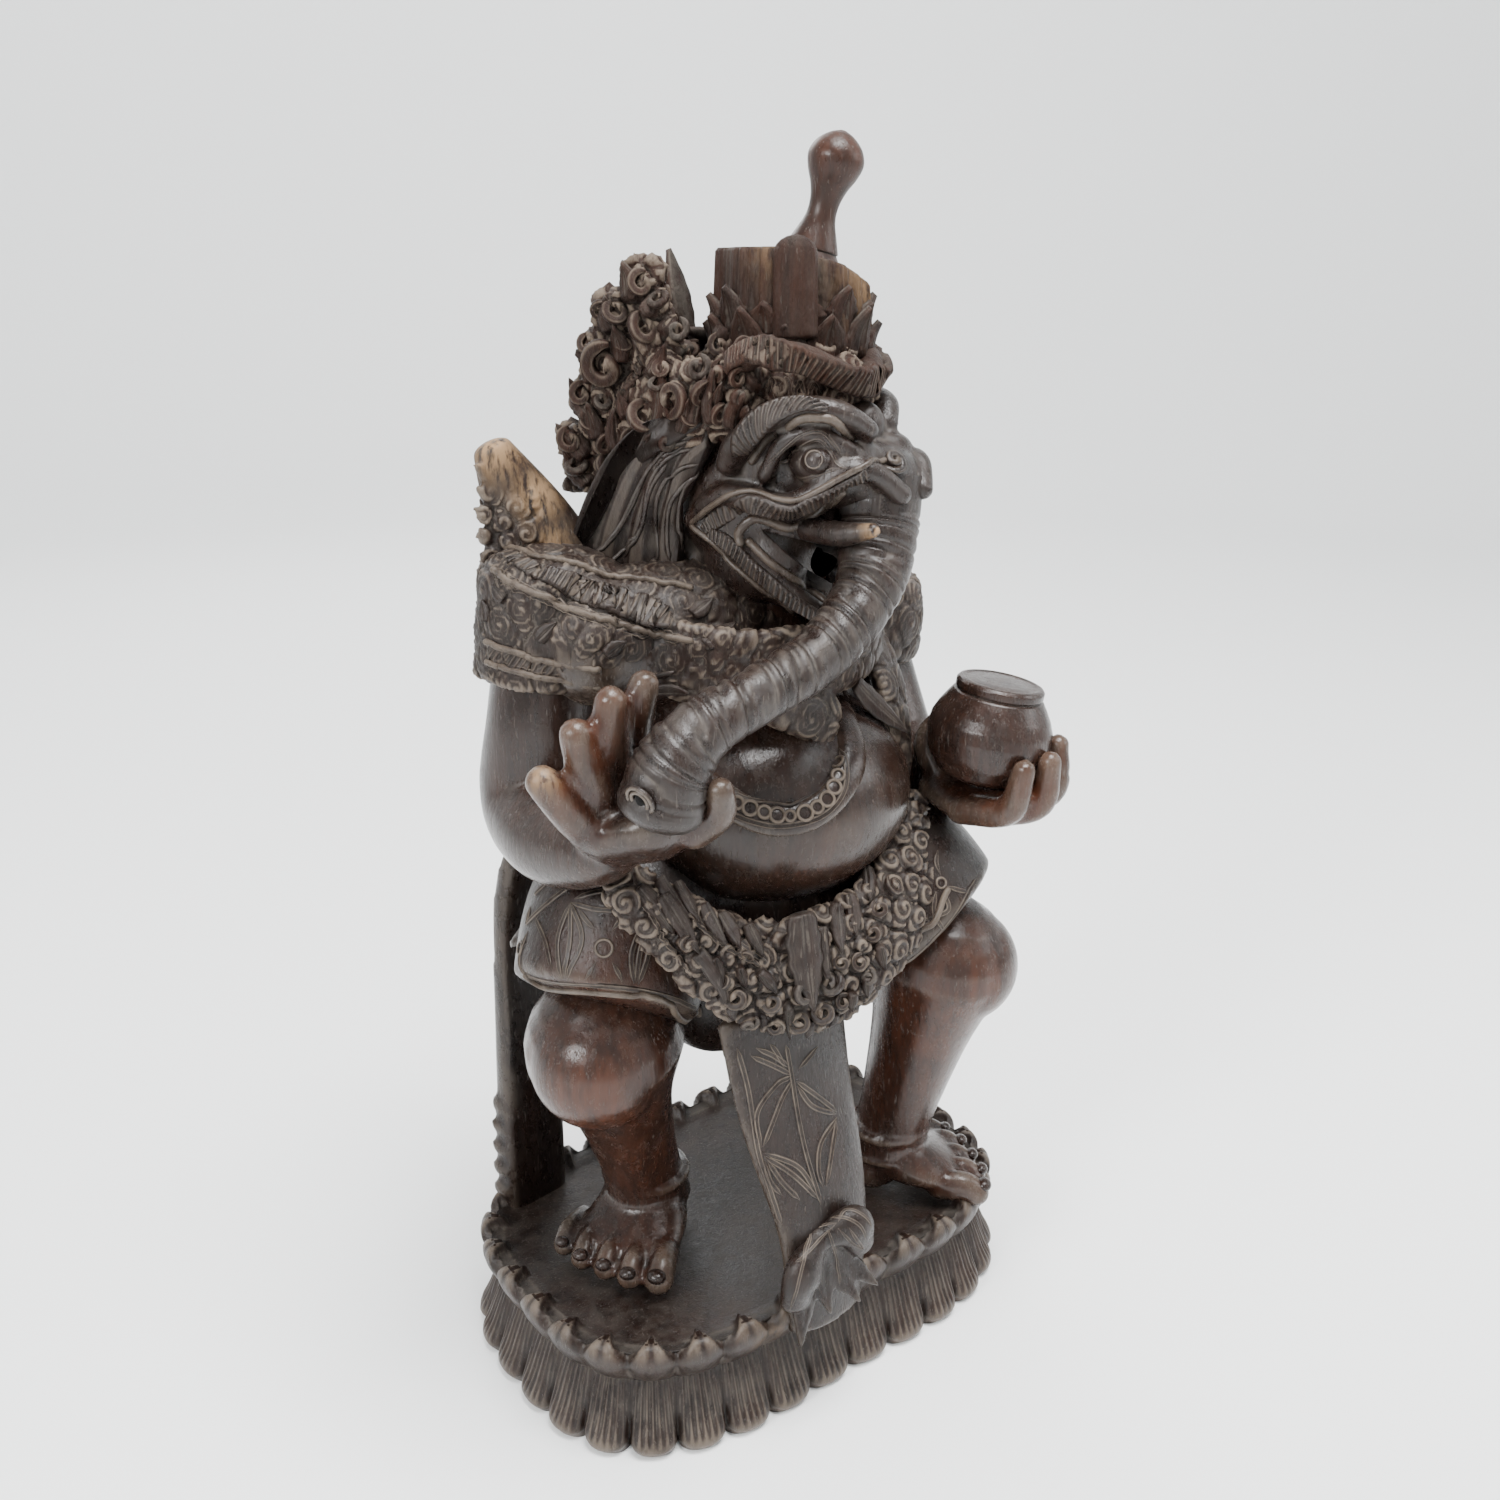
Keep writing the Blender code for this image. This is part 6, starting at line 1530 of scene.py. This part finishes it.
CROWN_CURLS = [
    (606, 366, 8.5, 1.2, 60), (673, 398, 6.5, 1.5, 200), (644, 420, 6.5, 1.9, 60),
    (703, 393, 5.0, 1.1, 90), (641, 285, 5.0, 1.5, 60), (617, 314, 5.0, 1.4, 100),
    (692, 350, 4.8, 1.4, 60), (721, 346, 4.4, 1.3, 90), (696, 368, 4.8, -1.4, 60),
    (644, 330, 6.0, 1.1, 90), (657, 302, 4.2, -1.2, 60), (590, 345, 4.4, 1.3, 90),
    (582, 395, 4.6, 1.3, 60), (571, 440, 5.0, 1.3, 90), (575, 468, 5.0, -1.3, 60),
    (609, 467, 4.8, 1.1, 90), (590, 425, 4.2, 1.3, 60), (600, 402, 4.0, -1.3, 60),
    (664, 370, 4.2, 1.3, 60), (655, 385, 3.6, -1.2, 60), (722, 372, 4.2, 1.3, 90),
    (735, 395, 4.2, -1.3, 60), (718, 415, 4.0, 1.3, 60), (690, 420, 3.8, 1.2, 60),
    (664, 442, 4.0, -1.2, 90), (630, 440, 3.6, 1.2, 60), (745, 350, 4.2, 1.3, 60),
    (676, 330, 4.4, -1.2, 60), (625, 348, 4.0, 1.2, 60), (600, 310, 3.6, 1.2, 60),
    (605, 445, 3.8, 1.2, 60), (737, 378, 3.6, 1.2, 60),
]
scrollwork(cap, sight(cap, [c[:2] for c in CROWN_CURLS])[0],
           spacing=0.0105, depth=0.0032, pitch=0.0038, seed=11)
mark_hollows(cap, rounds=8, reach=0.0009)
finish_piece(cap, CROWN_WOOD)
core = mesh_of("crown_core", [crown_core()])
finish_piece(core, CROWN_WOOD, bare=((*head(40, -25, 450), 0.02, 0.5), (*head(30, 10, 461), 0.012, 0.4)))

DIADEM = ((28, 42, 417), (37, 40, 421), (50, 34, 421), (58, 24, 416), (61, 11, 411), (59, 0, 410),
          (56, -11, 412),
          (48, -22, 417), (38, -31, 420), (27, -36, 417))
crown_base = mesh_of("diadem_roll", [
    limb([head(*p) for p in DIADEM], [6.5] * 3, [4.5] * 3, face=(0.01, 0, 1), rows=90, sides=24)])
finish_piece(crown_base, CROWN_WOOD)
fronts = np.array([head(*p) for p in DIADEM])
fronts = fronts + unit((fronts - fronts.mean(0)) * (1, 1, 0)) * 0.004
fronts = np.concatenate([fronts, np.full((len(fronts), 1), 6.4)], 1)
crown_carving = [band_on(crown_base, fronts, ribs=62, height=1.7)]
crown_carving.append(band_on(cap, [
    (662, 348, 3.6), (638, 368, 4.2), (622, 397, 4.2), (612, 430, 4.0), (611, 456, 3.4),
], ribs=20, lean=0.5, height=1.3))
stele = sight(core, [(796, 336), (796, 256)])
crown_carving.append(limb(stele[0] + stele[1] * 0.001, [9, 9], [5, 5], face=stele[1].mean(0), rows=20,
                          sides=36,
                          ends=(0.3, 1.6), power=0.6))
crown_carving += incised(cap, seen(cap, [
    [(766, 401), (772, 379), (779, 400), (786, 379), (793, 400), (800, 381), (807, 401), (814, 384),
     (821, 403)],
    [(762, 405), (790, 404), (824, 407)],
]), width=2.2, lip=0.8)
crown_carving += curls_seen(cap, [
    (x, y, r * 1.15, math.copysign(0.95, t), a) for x, y, r, t, a in CROWN_CURLS], rise=1.8)
crown_carving += leaves_seen(cap, [
    (690, 425, 700, 380, 3.6), (708, 430, 722, 385, 3.6), (700, 340, 705, 312, 5.0),
    (722, 340, 722, 300, 6.0), (749, 390, 750, 352, 5.6), (672, 420, 668, 385, 3.0),
    (682, 432, 690, 398, 3.2), (727, 425, 735, 392, 4.0), (650, 320, 646, 296, 4.5),
    (632, 300, 628, 262, 4.5), (612, 335, 604, 300, 5.0), (594, 380, 584, 340, 5.0),
    (590, 420, 573, 385, 5.0), (588, 460, 564, 428, 5.5), (590, 485, 567, 455, 5.5),
    (664, 335, 672, 312, 4.5), (676, 350, 686, 325, 4.5), (735, 335, 742, 305, 5.0),
    (640, 448, 655, 432, 3.0), (627, 420, 622, 398, 3.0), (712, 425, 706, 380, 4.5),
    (660, 425, 664, 380, 4.0), (650, 380, 668, 350, 4.0), (616, 450, 612, 410, 4.5),
    (600, 440, 590, 405, 4.5), (622, 360, 618, 325, 4.5), (742, 430, 745, 400, 4.0),
], curl_by=0.3, thick=4.6, lift=0.0012)
tiers = ((14, 402, 45, 44, 22, 8.5, (120, 240), 6), (CORE[0], 414, 31, 30, 24, 8.0, (0, 330), 12),
         (CORE[0], 428, 30, 29, 18, 7.0, (16, 346), 12))
for ahead, low, reach_s, reach_f, tall, wide, span, count in tiers:
    shift = CORE[1] if ahead == CORE[0] else 0
    for i, b in enumerate(np.radians(np.linspace(*span, count))):
        away = np.array([math.cos(b), math.sin(b)])
        root = head(ahead + reach_f * away[0], shift + reach_s * away[1], low)
        tip = head(ahead + (reach_f + 3) * away[0], shift + (reach_s + 3) * away[1], low + tall - 3 * (i % 3))
        out = head(away[0] * 10, away[1] * 10, 0) - head(0, 0, 0)
        crown_carving.append(leaf(root, tip, out, wide * 1.3, 4.8, 0.2))
for side in (1, -1):
    facing = head(2, side * 10, 0) - head(0, 0, 0)
    for f, s, z, long, tall in WING_BLOCKS:
        crown_carving.append(leaf(head(f + long, side * s, z - tall * 0.6),
                                  head(f - long, side * s, z + tall),
                                  (0, 0, 1), 8, 8, 0.1))
    if side < 0:
        for f, s, z, r in ((-44, 48, 412, 11), (-30, 47, 398, 11), (-8, 48, 409, 10), (-13, 47, 424, 9),
                           (9, 48, 403, 10), (-34, 47, 430, 8), (4, 44, 420, 8), (24, 43, 404, 8)):
            crown_carving.append(curl(head(f, side * s, z), facing, (0, 0, 1), r * 0.8, 3.0, 1.5, 3))
crown_carving.append(leaf(head(-26, 5, 424), head(-34, 5, 461), head(-10, 0, 0) - head(0, 0, 0), 8, 5, 0.03))
crown_ornament = mesh_of("crown_leaves_and_scrolls", crown_carving)
finish_piece(crown_ornament, CROWN_WOOD)


# The finial: a separate turned knob, a bulb on a drawn-in neck that flares to a foot. It leans with the
# crown's broken top and is worn smooth and red-brown.
FINIAL_WOOD = wood_finish("finial_wood", dust=0.30, redness=0.55, polish=0.55, lightness=1.15, marks=0.3)
FINIAL_LENGTH = 0.051
FINIAL_SHAPE = ((0, 12.2), (0.03, 12.0), (0.06, 11.0), (0.075, 10.6), (0.09, 11.0), (0.18, 9.2), (0.32, 6.5),
                (0.44, 6.2), (0.56, 7.75), (0.68, 10.6), (0.79, 11.8), (0.89, 9.7), (0.965, 5.3), (1.0, 1.2))


def finial():
    """The knob: a smooth profile of heights and radii turned about its leaning axis."""
    lean = math.radians(FINIAL_LEAN)
    axis = np.array([*(LEAN_WAY * math.sin(lean)), math.cos(lean)])
    foot = head(*CORE, CORE_TOP - 4.6) + np.array([*LEAN_WAY, 0]) * 0.007 + axis * 0.0003
    shape = np.array(FINIAL_SHAPE, float)
    h = along(shape[:, :1], 60)[:, 0] * FINIAL_LENGTH
    r = along(shape[:, 1:], 60)[:, 0] * 0.001
    across = unit(np.cross(axis, np.array([0, 1.0, 0])))
    other = np.cross(axis, across)
    a = np.linspace(0, 2 * np.pi, 56, endpoint=False)
    round_ = across * np.cos(a)[:, None] + other * np.sin(a)[:, None]
    rings = foot + axis * h[:, None, None] + round_[None] * r[:, None, None]
    return skin(rings, np.exp(-(((h / FINIAL_LENGTH - 0.075) / 0.012) ** 2))[:, None])


knob = mesh_of("finial_knob", [finial()])
knob.data.attributes.new("rubbed", "FLOAT", "POINT").data.foreach_set(
    "value", near(corners(knob.data), ((0.03, -0.02, 0.57, 0.02, 0.6),)))
knob.data.attributes.new("bare", "FLOAT", "POINT")
knob.data.shade_smooth()
knob.data.materials.append(FINIAL_WOOD)
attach(knob, "root")
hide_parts("crown_finial")


# The studio: a plain pale floor that turns up far from the figure, and wide soft lamps overhead and at
# both sides.
def studio_floor():
    """A bowl of revolution: flat to a wide radius, then rising as a quarter circle to an upright wall."""
    r = np.concatenate([np.linspace(0.02, 2.6, 20), 2.6 + 1.4 * np.sin(np.linspace(0.08, np.pi / 2, 20))])
    z = np.concatenate([np.zeros(20), 1.4 * (1 - np.cos(np.linspace(0.08, np.pi / 2, 20)))])
    r, z = np.append(r, 4.0), np.append(z, 4.0)
    a = np.linspace(0, 2 * np.pi, 96, endpoint=False)
    rings = np.stack([r[:, None] * np.cos(a), r[:, None] * np.sin(a), np.repeat(z[:, None], 96, 1)], -1)
    points, quads, _, depth = skin(rings)
    row = np.arange(96)
    centre = np.stack([(row + 1) % 96, row, np.full(96, len(rings) * 96)], 1)
    return points, quads, centre, depth


floor = mesh_of("studio_floor", [studio_floor()])
floor.data.shade_smooth()
pale = bpy.data.materials.new("pale_studio_paper")
pale.use_nodes = True
paper = pale.node_tree.nodes["Principled BSDF"]
paper.inputs["Base Color"].default_value = (0.91, 0.918, 0.916, 1)
paper.inputs["Roughness"].default_value = 0.9
floor.data.materials.append(pale)

world = bpy.context.scene.world or bpy.data.worlds.new("studio")
world.use_nodes = True
world.node_tree.nodes["Background"].inputs["Color"].default_value = (0.86, 0.88, 0.90, 1)
world.node_tree.nodes["Background"].inputs["Strength"].default_value = 0.9
bpy.context.scene.world = world


def lamp(name, place, aim, size, power):
    """A square soft lamp at a place, turned to its aim."""
    data = bpy.data.lights.new(name, "AREA")
    data.shape = "SQUARE"
    data.size = size
    data.energy = power
    made = bpy.data.objects.new(name, data)
    way = np.array(aim, float) - np.array(place, float)
    flat = math.hypot(way[0], way[1])
    made.rotation_euler = (math.atan2(flat, -way[2]), 0.0, math.atan2(way[1], way[0]) - math.pi / 2)
    made.location = place
    bpy.context.scene.collection.objects.link(made)
    return made


lamp("overhead_softbox", (0.1, -0.5, 2.0), (0, 0, 0.3), 0.9, 84)
lamp("left_window", (-1.9, -0.6, 1.3), (0, 0, 0.3), 0.6, 48)
lamp("right_fill", (1.7, -1.2, 1.2), (0, 0, 0.3), 0.9, 15)
lamp("back_fill", (0.3, 1.9, 1.6), (0, 0, 0.3), 1.2, 18)
lamp("wall_wash", (1.0, 1.6, 2.6), (1.6, 3.9, 1.2), 1.6, 46)
